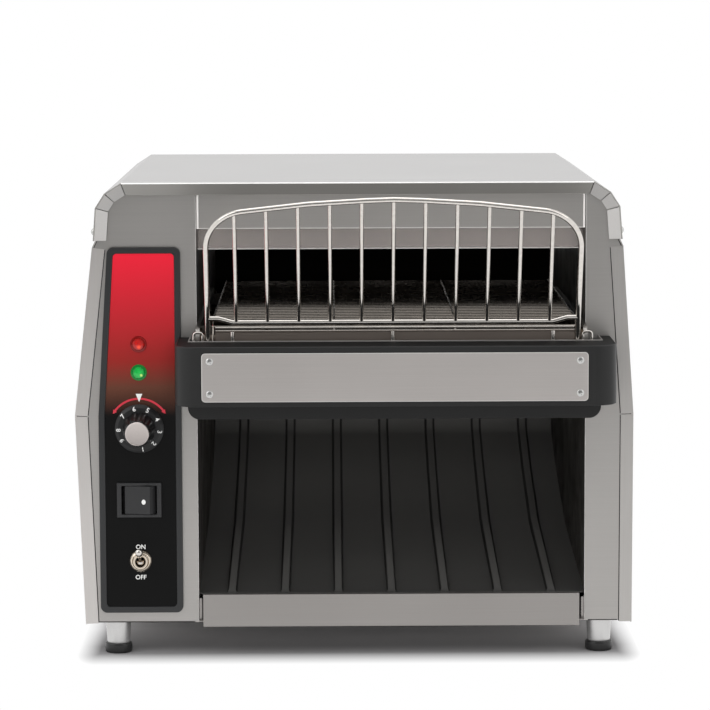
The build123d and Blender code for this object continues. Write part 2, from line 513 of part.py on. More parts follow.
# ---- Tunnel
def tunnel_wall(side):
    """Upright wall beside the belt, from the base pan to above the heaters."""
    x0 = LEFT_WALL_X - SHEET if side < 0 else RIGHT_WALL_X
    wall = block(x0, x0 + SHEET, behind(FACE_SHEET), behind(BODY_DEPTH - 3 * SHEET),
                 BASE_TOP_Z, WALL_TOP_Z)
    wall -= heater_holes(x0 - OVER, x0 + OVER)
    if side < 0:
        wall -= along_x(DRIVE_Y, SHAFT_Z, SHAFT_R + SEAT, x0 - OVER, x0 + OVER)
    return wall


def heater_holes(x0, x1, heights=(UPPER_HEATER_Z, LOWER_HEATER_Z)):
    """The holes that the heaters' ends pass through."""
    return [along_x(y, z, HEATER_R + LAP, x0, x1) for y in HEATER_YS for z in heights]


def hood_front_plate():
    """Plate that closes the top of the opening, folded back at both ends."""
    left, right = LEFT_WALL_X + SEAT, RIGHT_WALL_X - SEAT
    y0 = behind(HOOD_IN)
    bottom = TOP_Z - HOOD_DROP
    hood = block(left, right, y0, y0 + SHEET, bottom, WALL_TOP_Z)
    for x in (left, right - SHEET):
        hood += block(x, x + SHEET, y0, y0 + HOOD_RETURN, bottom, WALL_TOP_Z)
    return hood


def hood_inner_plate():
    """Set-back plate behind the hood, down to the mouth of the tunnel."""
    y0 = behind(INNER_HOOD_IN)
    return block(LEFT_WALL_X, RIGHT_WALL_X, y0, y0 + SHEET, TOP_Z - INNER_HOOD_DROP, WALL_TOP_Z)


def upper_reflector():
    """Roof of the tunnel over the upper heaters, with a lip down at the rear."""
    y0, y1 = behind(INNER_HOOD_IN + SHEET), DRIVE_Y + REFLECTOR_PAST
    z = UPPER_REFLECTOR_Z
    roof = block(LEFT_WALL_X, RIGHT_WALL_X, y0, y1, z, z + SHEET)
    return roof + block(LEFT_WALL_X, RIGHT_WALL_X, y1 - SHEET, y1, z - REFLECTOR_LIP, z + SHEET)


def heaters(z):
    """Tubular heaters across the tunnel, through both walls."""
    x0, x1 = LEFT_WALL_X - SHEET - HEATER_STUB, RIGHT_WALL_X + SHEET + HEATER_STUB
    return group([along_x(y, z, HEATER_R, x0, x1) for y in HEATER_YS])


def lower_reflector():
    """Pan under the lower heaters, inside the belt's loop and between its rails."""
    x0, x1 = LEFT_WALL_X + RAIL_W, RIGHT_WALL_X - RAIL_W
    y0, y1 = IDLER_Y + PAN_FRONT_GAP, DRIVE_Y - PAN_REAR_GAP
    z = LOWER_HEATER_Z - PAN_FLOOR_DROP
    pan = block(x0, x1, y0, y1, z, z + SHEET)
    for y in (y0, y1 - SHEET):
        pan += block(x0, x1, y, y + SHEET, z, BELT_TOP_Z - PAN_WALL_DROP)
    return pan


# ---- Conveyor
def conveyor_rails():
    """Side rails that carry the shafts' bushes, with round ends about the shafts."""
    rails = []
    for x0 in (LEFT_WALL_X, RIGHT_WALL_X - RAIL_W):
        x1 = x0 + RAIL_W
        rail = block(x0, x1, IDLER_Y, DRIVE_Y, SHAFT_Z - RAIL_H / 2, SHAFT_Z + RAIL_H / 2)
        for y in (IDLER_Y, DRIVE_Y):
            rail += along_x(y, SHAFT_Z, RAIL_OVERHANG, x0, x1)
        for y in (IDLER_Y, DRIVE_Y):
            rail -= along_x(y, SHAFT_Z, BUSH_R, x0 - OVER, x1 + OVER)
        rails.append(rail - heater_holes(x0 - OVER, x1 + OVER, (LOWER_HEATER_Z,)))
    return group(rails)


def conveyor_bushes():
    """Flanged bushes of both shafts, one in each end of each rail."""
    bushes = []
    for y in (IDLER_Y, DRIVE_Y):
        for side, x0 in ((1, LEFT_WALL_X), (-1, RIGHT_WALL_X)):
            x1 = x0 + side * RAIL_W
            bush = along_x(y, SHAFT_Z, BUSH_R, x0, x1)
            bush += along_x(y, SHAFT_Z, BUSH_COLLAR_R, x1, x1 + side * BUSH_COLLAR_W)
            bushes.append(bush - along_x(y, SHAFT_Z, SHAFT_R + FIT, x0 - OVER * side, x1 + OVER * side))
    return group(bushes)


def belt_shaft(y, x0):
    """A belt shaft from x0 to the right-hand wall."""
    return along_x(y, SHAFT_Z, SHAFT_R, x0, RIGHT_WALL_X - SEAT)


def belt_discs(y):
    """Discs on a belt shaft, notched for the belt's wires."""
    discs = []
    for offset in DISC_OFFSETS:
        x = BELT_X + offset
        disc = along_x(y, SHAFT_Z, DISC_R, x - DISC_W / 2, x + DISC_W / 2)
        for i in range(BELT_TEETH):
            angle = 2 * pi * i / BELT_TEETH
            wy, wz = y + BELT_R * sin(angle), SHAFT_Z + BELT_R * cos(angle)
            disc -= along_x(wy, wz, BELT_WIRE / sqrt(2) + SEAT, x - DISC_W, x + DISC_W)
        disc += along_x(y, SHAFT_Z, DISC_HUB_R, x - DISC_HUB_W / 2, x + DISC_HUB_W / 2)
        discs.append(disc - along_x(y, SHAFT_Z, SHAFT_R, x - DISC_HUB_W, x + DISC_HUB_W))
    return group(discs)


def belt_line():
    """(y, z) of every wire of the belt, once round from the top of the front shaft."""
    step = 2 * pi / BELT_TEETH
    turn = [(BELT_R * sin(i * step), BELT_R * cos(i * step)) for i in range(BELT_TEETH // 2)]
    top = [(IDLER_Y + i * BELT_PITCH, SHAFT_Z + BELT_R) for i in range(BELT_RUN_PITCHES)]
    low = [(DRIVE_Y - i * BELT_PITCH, SHAFT_Z - BELT_R) for i in range(BELT_RUN_PITCHES)]
    rear = [(DRIVE_Y + y, SHAFT_Z + z) for y, z in turn]
    front = [(IDLER_Y - y, SHAFT_Z - z) for y, z in turn]
    return top + rear + low + front


def tilted_bar(x0, x1, start, end, half):
    """A square bar across the belt whose side view runs from start to end, half thick each way."""
    (y0, z0), (y1, z1) = start, end
    length = hypot(y1 - y0, z1 - z0)
    ny, nz = -(z1 - z0) / length * half, (y1 - y0) / length * half
    return bar_x([(y0 + ny, z0 + nz), (y1 + ny, z1 + nz), (y1 - ny, z1 - nz), (y0 - ny, z0 - nz)], x0, x1)


def conveyor_belt():
    """Wire belt: cross wires, each linked to the next one by four short links."""
    line = belt_line()
    half = BELT_WIRE / 2
    x0, x1 = BELT_X - BELT_HALF, BELT_X + BELT_HALF
    wires = []
    for i, (y, z) in enumerate(line):
        (ya, za), (yb, zb) = line[i - 1], line[(i + 1) % len(line)]
        share = half / hypot(yb - ya, zb - za)
        wire = tilted_bar(x0, x1, (y - (yb - ya) * share, z - (zb - za) * share),
                          (y + (yb - ya) * share, z + (zb - za) * share), half)
        reach = 1 - (half * sqrt(2) + LAP) / hypot(yb - y, zb - z)
        end = (y + (yb - y) * reach, z + (zb - z) * reach)
        for k in range(BELT_LINK_LINES):
            x = x0 + (x1 - x0 - BELT_LINK_W) * k / (BELT_LINK_LINES - 1)
            wire += tilted_bar(x, x + BELT_LINK_W, (y, z), end, half)
        wires.append(wire)
    return group(wires)


# ---- Drive
def shaft_coupling():
    """Sleeve that joins the gear case's output shaft to the belt's drive shaft."""
    x0, x1 = COUPLING_X - COUPLING_L / 2, COUPLING_X + COUPLING_L / 2
    sleeve = along_x(DRIVE_Y, SHAFT_Z, COUPLING_R, x0, x1)
    sleeve -= along_x(DRIVE_Y, SHAFT_Z, OUTPUT_R, x0 - OVER, COUPLING_X)
    return sleeve - along_x(DRIVE_Y, SHAFT_Z, SHAFT_R, COUPLING_X, x1 + OVER)


def output_shaft():
    """Output shaft of the gear case."""
    return along_x(DRIVE_Y, SHAFT_Z, OUTPUT_R, GEARBOX_X - GEARBOX_W / 2 + SEAT, COUPLING_X)


def gearbox():
    """Worm gear case, with a collar round its output shaft."""
    case = block(GEARBOX_X - GEARBOX_W, GEARBOX_X, DRIVE_Y - GEARBOX_HALF, DRIVE_Y + GEARBOX_HALF,
                 SHAFT_Z - GEARBOX_HALF, SHAFT_Z + GEARBOX_HALF)
    case = fillet(case.edges().filter_by(Axis.X), GEARBOX_CORNER_R)
    case += along_x(DRIVE_Y, SHAFT_Z, OUTPUT_COLLAR_R, GEARBOX_X, GEARBOX_X + OUTPUT_COLLAR_L)
    return case - along_x(DRIVE_Y, SHAFT_Z, OUTPUT_R + FIT, GEARBOX_X - GEARBOX_W / 2, GEARBOX_X + OVER)


def motor_standoffs():
    """Four posts that hold the gear case on the tunnel's left wall."""
    reach = GEARBOX_HALF - STANDOFF_IN
    posts = []
    for y in (DRIVE_Y - reach, DRIVE_Y + reach):
        for z in (SHAFT_Z - reach, SHAFT_Z + reach):
            posts.append(along_x(y, z, STANDOFF_R, GEARBOX_X, LEFT_WALL_X - SHEET))
    return group(posts)


def gear_motor():
    """Motor can under the gear case."""
    x, top = GEARBOX_X - GEARBOX_W / 2, SHAFT_Z - GEARBOX_HALF
    bottom = top - MOTOR_L
    can = rod((x, DRIVE_Y, top), (x, DRIVE_Y, bottom), MOTOR_R)
    return can + rod((x, DRIVE_Y, bottom), (x, DRIVE_Y, bottom - MOTOR_CAP_L), MOTOR_CAP_R)


def speed_board():
    """Motor speed board on four posts of the tunnel's left wall."""
    x0 = LEFT_WALL_X - SHEET - BOARD_POST_L
    x1 = x0 - BOARD_THICK
    y0, y1, z0, z1 = behind(BOARD_IN), behind(BOARD_IN + BOARD_L), BOARD_Z, BOARD_Z + BOARD_H
    board = block(x1, x0, y0, y1, z0, z1)
    for y in (y0 + BOARD_POST_IN, y1 - BOARD_POST_IN):
        for z in (z0 + BOARD_POST_IN, z1 - BOARD_POST_IN):
            board += along_x(y, z, BOARD_POST_R, x0, x0 + BOARD_POST_L)
    y, z, half = (y0 + y1) / 2, (z0 + z1) / 2, BOARD_CHIP / 2
    return board + block(x1 - BOARD_CHIP_H, x1, y - half, y + half, z - half, z + half)


# ---- Fan and electrics
def fan_frame():
    """Square fan frame with spokes and a pin for the rotor."""
    y1 = behind(BODY_DEPTH - 2 * SHEET)
    y0 = y1 - FAN_DEPTH
    frame = block(BAY_X - FAN_HALF, BAY_X + FAN_HALF, y0, y1, FAN_Z - FAN_HALF, FAN_Z + FAN_HALF)
    frame = fillet(frame.edges().filter_by(Axis.Y), FAN_HALF - FAN_BORE_R)
    frame -= along_y(BAY_X, FAN_Z, FAN_BORE_R, y0 - OVER, y1 + OVER)
    reach, half = FAN_BORE_R + LAP, FAN_SPOKE / 2
    frame += block(BAY_X - reach, BAY_X + reach, y0, y0 + FAN_SPOKE, FAN_Z - half, FAN_Z + half)
    frame += block(BAY_X - half, BAY_X + half, y0, y0 + FAN_SPOKE, FAN_Z - reach, FAN_Z + reach)
    frame += along_y(BAY_X, FAN_Z, FAN_HUB_R, y0, y0 + FAN_SPOKE)
    return frame + along_y(BAY_X, FAN_Z, FAN_PIN_R, y0, y1 - SHEET)


def fan_rotor():
    """Fan wheel: a hub on the pin with tilted blades."""
    y1 = behind(BODY_DEPTH - 2 * SHEET) - SEAT
    y0 = y1 + 2 * SEAT - FAN_DEPTH + FAN_SPOKE
    rotor = along_y(BAY_X, FAN_Z, FAN_HUB_R, y0, y1)
    span = FAN_BLADE_R - FAN_HUB_R + 2 * LAP
    for i in range(FAN_BLADES):
        blade = Rot(FAN_BLADE_PITCH, 0, 0) * Box(span, y1 - y0, FAN_BLADE_THICK)
        blade = Rot(0, 360 * i / FAN_BLADES, 0) * Pos((FAN_HUB_R + FAN_BLADE_R) / 2, 0, 0) * blade
        rotor += Pos(BAY_X, (y0 + y1) / 2, FAN_Z) * blade
    rotor &= along_y(BAY_X, FAN_Z, FAN_BLADE_R, y0, y1)
    return rotor - along_y(BAY_X, FAN_Z, FAN_PIN_R + FIT, y0 - OVER, y1 + OVER)


def terminal_block():
    """Moulded terminal strip on the base pan, with a row of screw wells."""
    y0, top = behind(BODY_DEPTH - TERMINAL_REAR_GAP), BASE_TOP_Z + TERMINAL_H
    moulding = block(BAY_X - TERMINAL_W / 2, BAY_X + TERMINAL_W / 2, y0, y0 + TERMINAL_L,
                     BASE_TOP_Z, top)
    for i in range(TERMINAL_WELLS):
        y = y0 + TERMINAL_L * (i + 0.5) / TERMINAL_WELLS
        moulding -= rod((BAY_X, y, top - TERMINAL_WELL_L), (BAY_X, y, top + OVER), TERMINAL_WELL_R)
    return moulding


def cord_inlet():
    """Gland of the supply cord in the rear panel."""
    y0, y1, y2 = behind(BODY_DEPTH - INLET_INSIDE), behind(BODY_DEPTH - SHEET), behind(BODY_DEPTH + INLET_OUT)
    gland = along_y(BAY_X, INLET_Z, INLET_R, y1, y2, INLET_R - INLET_TAPER)
    gland += along_y(BAY_X, INLET_Z, INLET_HOLE_R, y0, y1)
    return gland - along_y(BAY_X, INLET_Z, INLET_BORE_R, y0 - OVER, y2 + OVER)


# ---- Discharge
def chute_line(offset):
    """The chute's side view as a (y, z) line, moved up from the sliding face by an offset."""
    rear = BODY_DEPTH - CHUTE_REAR_GAP
    points = [(behind(CHUTE_IN), CHUTE_FRONT_Z), (behind(rear - CHUTE_LOW_KNEE), CHUTE_LOW_KNEE_Z),
              (behind(rear - CHUTE_HIGH_KNEE), CHUTE_HIGH_KNEE_Z), (behind(rear), CHUTE_REAR_Z)]
    (y0, z0), (y1, z1) = points[-2:]
    slope = atan((z1 - z0) / (y1 - y0))
    set_back = CHUTE_BEND_R * tan((pi / 2 - slope) / 2)
    centre_y, centre_z = y1 - CHUTE_BEND_R, z1 + set_back
    bend = [slope + (pi / 2 - slope) * i / CHUTE_BEND_STEPS for i in range(CHUTE_BEND_STEPS + 1)]
    points[-1:] = [(centre_y + CHUTE_BEND_R * sin(a), centre_z - CHUTE_BEND_R * cos(a)) for a in bend]
    points.append((y1, z1 + CHUTE_RISE))
    return inset(points, -offset)


def chute_band(low, high, x0, x1):
    """Sheet between two offsets of the chute's line."""
    return bar_x(chute_line(high) + chute_line(low)[::-1], x0, x1)


def discharge_chute():
    """Ribbed slide that turns the toast from the rear of the belt to the front of the machine."""
    chute = chute_band(-CHUTE_WALL, 0, LEFT_WALL_X, RIGHT_WALL_X)
    outer = OPENING_HALF - CHUTE_RIB_SIDE
    for i in range(CHUTE_RIBS):
        x = OPENING_X + outer * (2 * i / (CHUTE_RIBS - 1) - 1) - CHUTE_RIB_W / 2
        chute += chute_band(-CHUTE_WALL / 2, CHUTE_RIB_H, x, x + CHUTE_RIB_W)
    return chute


def crumb_tray():
    """Drawer under the chute: a floor with low walls, and the lip that shows at the front."""
    x0, x1 = LEFT_WALL_X + SEAT, RIGHT_WALL_X - SEAT
    y0, y1 = ahead(LIP_AHEAD), behind(BODY_DEPTH - TRAY_REAR_GAP)
    floor_z = BASE_TOP_Z + SEAT
    tray = block(x0, x1, y0 + SHEET, y1, floor_z, floor_z + SHEET)
    for x in (x0, x1 - SHEET):
        tray += block(x, x + SHEET, behind(FACE_SHEET), y1, floor_z, floor_z + TRAY_WALL_H)
    tray += block(x0, x1, y1 - SHEET, y1, floor_z, floor_z + TRAY_WALL_H)
    lip_x, lip_half = OPENING_X + LIP_SHIFT, OPENING_HALF - LIP_SIDE_GAP
    lip_x0, lip_x1, lip_top = lip_x - lip_half, lip_x + lip_half, CHUTE_FRONT_Z + LIP_TOP_GAP
    tray += block(lip_x0, lip_x1, y0, y0 + SHEET, SIDE_BOTTOM_Z - LIP_BELOW, lip_top)
    tray += block(lip_x0, lip_x1, y0, y0 + LIP_HEM, lip_top - SHEET, lip_top)
    for x in (x0, x1 - TRAY_TAB_W):
        tray += block(x, x + TRAY_TAB_W, behind(0), behind(FACE_SHEET), floor_z, floor_z + TRAY_TAB_H)
    return tray


# ---- Shelf
def shelf_block(half, reach, rear, z0, z1, radius):
    """A block about the shelf's middle with its two front upright edges rounded."""
    solid = block(SHELF_X - half, SHELF_X + half, ahead(reach), ahead(rear), z0, z1)
    return fillet(solid.edges().filter_by(Axis.Z).group_by(Axis.Y)[0], radius)


def bumper():
    """Guard rail round the shelf: a hollow U with a flat top, open underneath."""
    outer = shelf_block(BUMPER_HALF, BUMPER_REACH, BEZEL_THICK, BUMPER_BOTTOM_Z, BUMPER_TOP_Z,
                        BUMPER_CORNER_R)
    top_edges = outer.edges().group_by(Axis.Z)[-1].sort_by(Axis.Y)[:-1]
    outer = fillet(top_edges, BUMPER_EDGE_R)
    wall = BUMPER_WALL
    hollow = shelf_block(BUMPER_HALF - wall, BUMPER_REACH - wall, 0, BUMPER_BOTTOM_Z - OVER,
                         BUMPER_TOP_Z - wall, BUMPER_CORNER_R - wall)
    well = block(SHELF_X - CATCH_HALF - LAP, SHELF_X + CATCH_HALF + LAP, ahead(CATCH_REACH + LAP),
                 ahead(0), BUMPER_BOTTOM_Z, BUMPER_TOP_Z + OVER)
    return outer - hollow - well


def shelf_mount_plate():
    """Plate on the front panel that carries the shelf, open where the belt comes through."""
    x0, x1 = SHELF_X - MOUNT_HALF, SHELF_X + MOUNT_HALF
    y0, y1 = ahead(BEZEL_THICK), ahead(0)
    plate = block(x0, x1, y0, y1, BUMPER_BOTTOM_Z - MOUNT_BELOW, BUMPER_TOP_Z - BUMPER_WALL)
    plate = fillet(plate.edges().filter_by(Axis.Y).group_by(Axis.Z)[0], MOUNT_CORNER_R)
    return plate - block(LEFT_WALL_X, RIGHT_WALL_X, y0 - OVER, y1 + OVER, MOUNT_LEDGE_Z, BUMPER_TOP_Z)


def catch_tray():
    """Stainless trough under the front of the belt, which the guard stands in."""
    x0, x1 = SHELF_X - CATCH_HALF, SHELF_X + CATCH_HALF
    y0, y1 = ahead(CATCH_REACH), ahead(BEZEL_THICK)
    top = BUMPER_TOP_Z + CATCH_RIM
    tray = block(x0, x1, y0, y1, MOUNT_LEDGE_Z, top)
    tray -= block(x0 + SHEET, x1 - SHEET, y0 + SHEET, y1 + OVER, MOUNT_LEDGE_Z + SHEET, top + OVER)
    return tray + block(LEFT_WALL_X, RIGHT_WALL_X, y1, ahead(0), MOUNT_LEDGE_Z, MOUNT_LEDGE_Z + SHEET)


def front_badge():
    """Bare steel plate on the bumper's face."""
    y0, y1 = ahead(BUMPER_REACH + BADGE_THICK), ahead(BUMPER_REACH)
    corners = [(BADGE_X - BADGE_HALF, BADGE_BOTTOM_Z), (BADGE_X + BADGE_HALF, BADGE_BOTTOM_Z),
               (BADGE_X + BADGE_HALF, BADGE_TOP_Z), (BADGE_X - BADGE_HALF, BADGE_TOP_Z)]
    return slab(corners, y0, y1, BADGE_CORNER_R)


def badge_screws():
    """The badge's four screws, with domed heads."""
    y = ahead(BUMPER_REACH + BADGE_THICK)
    middle = (BADGE_BOTTOM_Z + BADGE_TOP_Z) / 2
    screws = []
    reach = BADGE_HALF - BADGE_SCREW_IN
    for x in (BADGE_X - reach, BADGE_X + reach):
        for z in (middle - BADGE_SCREW_Z, middle + BADGE_SCREW_Z):
            screws.append(along_y(x, z, BADGE_SCREW_R, y, y - BADGE_SCREW_H, BADGE_SCREW_FACE_R))
    return group(screws)


def guard_seats():
    """Pegs and wire staples of the catch tray, which the guard stands between."""
    floor_z = MOUNT_LEDGE_Z + SHEET
    y, top, reach = ahead(CATCH_REACH - SHEET) + PEG_R, BUMPER_TOP_Z + PEG_RISE, GUARD_HALF - PEG_SIDE_GAP
    seats = [rod((x, y, floor_z), (x, y, top), PEG_R) for x in (GUARD_X - reach, GUARD_X, GUARD_X + reach)]
    y, top = ahead(CATCH_REACH - SHEET) + STAPLE_R, BUMPER_TOP_Z + STAPLE_RISE
    for side in (-1, 1):
        near = GUARD_X + side * (GUARD_HALF + STAPLE_GAP)
        far = near + side * STAPLE_SPAN
        line = [(near, y, floor_z), (near, y, top), (far, y, top), (far, y, floor_z)]
        seats.append(wire_along(line, [STAPLE_BEND, STAPLE_BEND], STAPLE_R))
    return group(seats)


# ---- Loading guard
def guard_y(z):
    """Y of the guard's leaning plane at a height."""
    return ahead(GUARD_FOOT_AHEAD + GUARD_SLOPE * max(z - GUARD_BEND_Z, 0))


def guard_point(x, z):
    """A point of the guard's plane."""
    return x, guard_y(z), z


def guard_arch():
    """Arched wire: two upright legs in the catch tray, leaning sides and a bowed top."""
    half = [(GUARD_HALF, GUARD_BEND_Z), *ARCH_CORNERS]
    outline = [(-x, z) for x, z in half] + [(0, GUARD_TOP_Z)] + half[::-1]
    points = [guard_point(GUARD_X + x, z) for x, z in outline]
    foot_z = MOUNT_LEDGE_Z + SHEET
    feet = [(GUARD_X + x, guard_y(foot_z), foot_z) for x in (-GUARD_HALF, GUARD_HALF)]
    bends = [ARCH_FOOT_R, *ARCH_BENDS, ARCH_CROWN_R, *ARCH_BENDS[::-1], ARCH_FOOT_R]
    return wire_along([feet[0], *points, feet[1]], bends, ARCH_R)


def arch_height(x):
    """Height of the arch's corner line over a rod at x."""
    outline = [(0, GUARD_TOP_Z), *ARCH_CORNERS[::-1]]
    offset = abs(x - GUARD_X)
    for (x0, z0), (x1, z1) in zip(outline, outline[1:]):
        if offset <= x1:
            return z0 + (z1 - z0) * (offset - x0) / (x1 - x0)
    return outline[-1][1]


def guard_rods():
    """Upright rods of the guard between its cross wire and its arch."""
    rods = []
    for i in range(RODS):
        x = GUARD_X + (i - (RODS - 1) / 2) * ROD_PITCH
        rods.append(rod(guard_point(x, CROSS_Z), guard_point(x, arch_height(x)), ROD_R))
    return group(rods)


def guard_cross_wire():
    """Cross wire at the foot of the rods, cranked at both ends to meet the arch."""
    inner = (RODS - 1) / 2 * ROD_PITCH + CROSS_PAST
    high = CROSS_Z + CROSS_STEP
    half = [(GUARD_HALF, high), (inner + CROSS_CRANK, high), (inner, CROSS_Z)]
    outline = [(-x, z) for x, z in half] + half[::-1]
    return wire_along([guard_point(GUARD_X + x, z) for x, z in outline], [CROSS_BEND] * 4, CROSS_R)


# ---- Controls
def control_bezel():
    """Moulded bezel on the front panel, with a sunk face for the label."""
    bezel = slab(bezel_outline(), ahead(BEZEL_THICK), ahead(0), BEZEL_CORNER_R)
    recess = slab(bezel_outline(BEZEL_RIM), ahead(BEZEL_THICK + OVER), ahead(BEZEL_THICK - LABEL_SINK),
                  LABEL_CORNER_R)
    return bezel - recess - control_holes()


def control_label():
    """Printed label in the bezel's recess."""
    label = slab(bezel_outline(BEZEL_RIM + LAP), ahead(LABEL_FACE), ahead(LABEL_FACE - LABEL_THICK),
                 LABEL_CORNER_R)
    return label - control_holes()


def lamp(z):
    """Pilot lamp: a domed lens on the label and its body behind the panel."""
    face = ahead(LABEL_FACE)
    lens = along_y(CONTROL_X, z, LAMP_R, face, face - LAMP_RIM)
    lens += along_y(CONTROL_X, z, LAMP_NECK_R, face - LAMP_RIM, face - LAMP_DOME, LAMP_FACE_R)
    return lens + along_y(CONTROL_X, z, LAMP_BODY_R, face, face + LAMP_BODY_L)


def speed_pot():
    """Speed control behind the panel, with the bush that its shaft turns in."""
    y0, y1 = behind(FACE_SHEET), behind(FACE_SHEET + POT_L)
    pot = along_y(CONTROL_X, DIAL_Z, POT_R, y0, y1)
    pot += along_y(CONTROL_X, DIAL_Z, POT_BUSH_R, ahead(LABEL_FACE), y0)
    return pot - along_y(CONTROL_X, DIAL_Z, POT_SHAFT_R + FIT, ahead(LABEL_FACE + OVER), y0 + POT_BORE_L)


def pot_shaft_bar(radius, y1):
    """A bar from the front end of the speed control's shaft back to y1."""
    return along_y(CONTROL_X, DIAL_Z, radius, ahead(LABEL_FACE + POT_SHAFT_OUT), y1)


def knob_shaft():
    """Shaft of the speed control, from inside its body into the knob."""
    return pot_shaft_bar(POT_SHAFT_R, behind(FACE_SHEET + POT_BORE_L - SEAT))


def dial_skirt():
    """Flat numbered skirt of the knob, with a sloping edge."""
    back = ahead(LABEL_FACE + DIAL_GAP)
    skirt = along_y(CONTROL_X, DIAL_Z, DIAL_R, back, back - DIAL_RIM)
    skirt += along_y(CONTROL_X, DIAL_Z, DIAL_R, back - DIAL_RIM, back - DIAL_THICK, DIAL_R - DIAL_SLOPE)
    return skirt - pot_shaft_bar(POT_SHAFT_R, back)


def knob_barrel():
    """Fluted, slightly tapered grip of the knob."""
    back = ahead(LABEL_FACE + DIAL_GAP + DIAL_THICK)
    front = back - KNOB_L
    grip = along_y(CONTROL_X, DIAL_Z, KNOB_R, back, front, KNOB_FRONT_R)
    for i in range(KNOB_FLUTES):
        angle = 2 * pi * i / KNOB_FLUTES
        ends = [(CONTROL_X + r * sin(angle), y, DIAL_Z + r * cos(angle))
                for r, y in ((KNOB_R + FLUTE_OUT, back), (KNOB_FRONT_R + FLUTE_OUT, front))]
        grip -= rod(*ends, FLUTE_R)
    return grip - pot_shaft_bar(POT_SHAFT_R, back)


def knob_cap():
    """Bright disc on the knob's face."""
    face = ahead(LABEL_FACE + DIAL_GAP + DIAL_THICK + KNOB_L)
    return along_y(CONTROL_X, DIAL_Z, CAP_R, face, face - CAP_THICK)


def rocker_pocket(y0, y1):
    """The space that the rocker swings in."""
    hx, hz = ROCKER_SWING_R + SEAT, ROCKER_HALF_Z + SEAT
    return block(ROCKER_X - hx, ROCKER_X + hx, y0, y1, ROCKER_Z - hz, ROCKER_Z + hz)


def rocker_frame():
    """Flat frame of the rocker switch."""
    y0, y1 = ahead(LABEL_FACE + ROCKER_FRAME_THICK), ahead(LABEL_FACE)
    hx, hz = ROCKER_FRAME_HALF_X, ROCKER_FRAME_HALF_Z
    frame = block(ROCKER_X - hx, ROCKER_X + hx, y0, y1, ROCKER_Z - hz, ROCKER_Z + hz)
    return frame - rocker_pocket(y0 - OVER, y1 + OVER)


def rocker_body():
    """Body of the rocker switch behind the panel, with pins that the rocker turns on."""
    hx = ROCKER_SWING_R + SEAT + ROCKER_BODY_WALL
    hz = ROCKER_HALF_Z + SEAT + ROCKER_BODY_WALL
    y0, y1 = ahead(LABEL_FACE), behind(ROCKER_BODY_L)
    body = block(ROCKER_X - hx, ROCKER_X + hx, y0, y1, ROCKER_Z - hz, ROCKER_Z + hz)
    body -= rocker_pocket(y0 - OVER, behind(ROCKER_PIVOT_IN + ROCKER_SWING_R + SEAT))
    y = behind(ROCKER_PIVOT_IN)
    for side in (-1, 1):
        root, tip = ROCKER_Z + side * hz, ROCKER_Z + side * (ROCKER_HALF_Z - ROCKER_PIN_HOLD)
        body += rod((ROCKER_X, y, root), (ROCKER_X, y, tip), ROCKER_PIN_R)
    return body


def rocker_paddle():
    """Two-way rocker, tilted to its rest side, with a bore for its pins."""
    profile = [(-x, y) for x, y in ROCKER_PROFILE[:-1]] + list(ROCKER_PROFILE[::-1])
    z0, z1 = ROCKER_Z - ROCKER_HALF_Z, ROCKER_Z + ROCKER_HALF_Z
    face = make_face(Polyline([(x, y, z0) for x, y in profile], close=True))
    paddle = extrude(face, amount=z1 - z0, dir=(0, 0, 1)) & rod((0, 0, z0), (0, 0, z1), ROCKER_SWING_R)
    paddle -= rod((0, 0, z0 - OVER), (0, 0, z1 + OVER), ROCKER_PIN_R + FIT)
    return Pos(ROCKER_X, behind(ROCKER_PIVOT_IN), 0) * (Rot(0, 0, -ROCKER_TILT) * paddle)


def toggle_bar(radius, out0, out1, end_radius=None):
    """A bar of the toggle switch between two distances ahead of the label's face."""
    y0, y1 = ahead(LABEL_FACE + out0), ahead(LABEL_FACE + out1)
    return along_y(CONTROL_X, TOGGLE_Z, radius, y0, y1, end_radius)


def toggle_nut():
    """Threaded bush of the toggle switch with its dress nut."""
    back = -LABEL_FACE - FACE_SHEET
    nut = toggle_bar(TOGGLE_NUT_R, 0, TOGGLE_RIM) + toggle_bar(TOGGLE_BUSH_R, back, TOGGLE_BUSH_L)
    nut += toggle_bar(TOGGLE_NUT_R, TOGGLE_RIM, TOGGLE_NUT_L, TOGGLE_NUT_FACE_R)
    return nut - toggle_bar(TOGGLE_BORE_R, back, TOGGLE_BUSH_L + OVER)


def toggle_body():
    """Body of the toggle switch behind the panel, with a cup under the lever's ball."""
    hx, hz = TOGGLE_BODY_W / 2, TOGGLE_BODY_H / 2
    y0 = behind(FACE_SHEET)
    body = block(CONTROL_X - hx, CONTROL_X + hx, y0, y0 + TOGGLE_BODY_L, TOGGLE_Z - hz, TOGGLE_Z + hz)
    return body + along_y(CONTROL_X, TOGGLE_Z, TOGGLE_BORE_R - LAP, PIVOT_Y + LEVER_BALL_R + SEAT, y0)


def lever_point(distance):
    """A point along the toggle's lever, which is tilted up."""
    tilt = radians(TOGGLE_TILT)
    return CONTROL_X, PIVOT_Y - distance * cos(tilt), TOGGLE_Z + distance * sin(tilt)


def toggle_lever():
    """Bat lever of the toggle switch."""
    lever = Pos(*lever_point(0)) * Sphere(LEVER_BALL_R)
    lever += rod(lever_point(0), lever_point(LEVER_NECK_L), LEVER_NECK_R)
    lever += rod(lever_point(LEVER_NECK_L), lever_point(LEVER_L), LEVER_NECK_R, LEVER_TIP_R)
    return lever + Pos(*lever_point(LEVER_L)) * Sphere(LEVER_TIP_R)


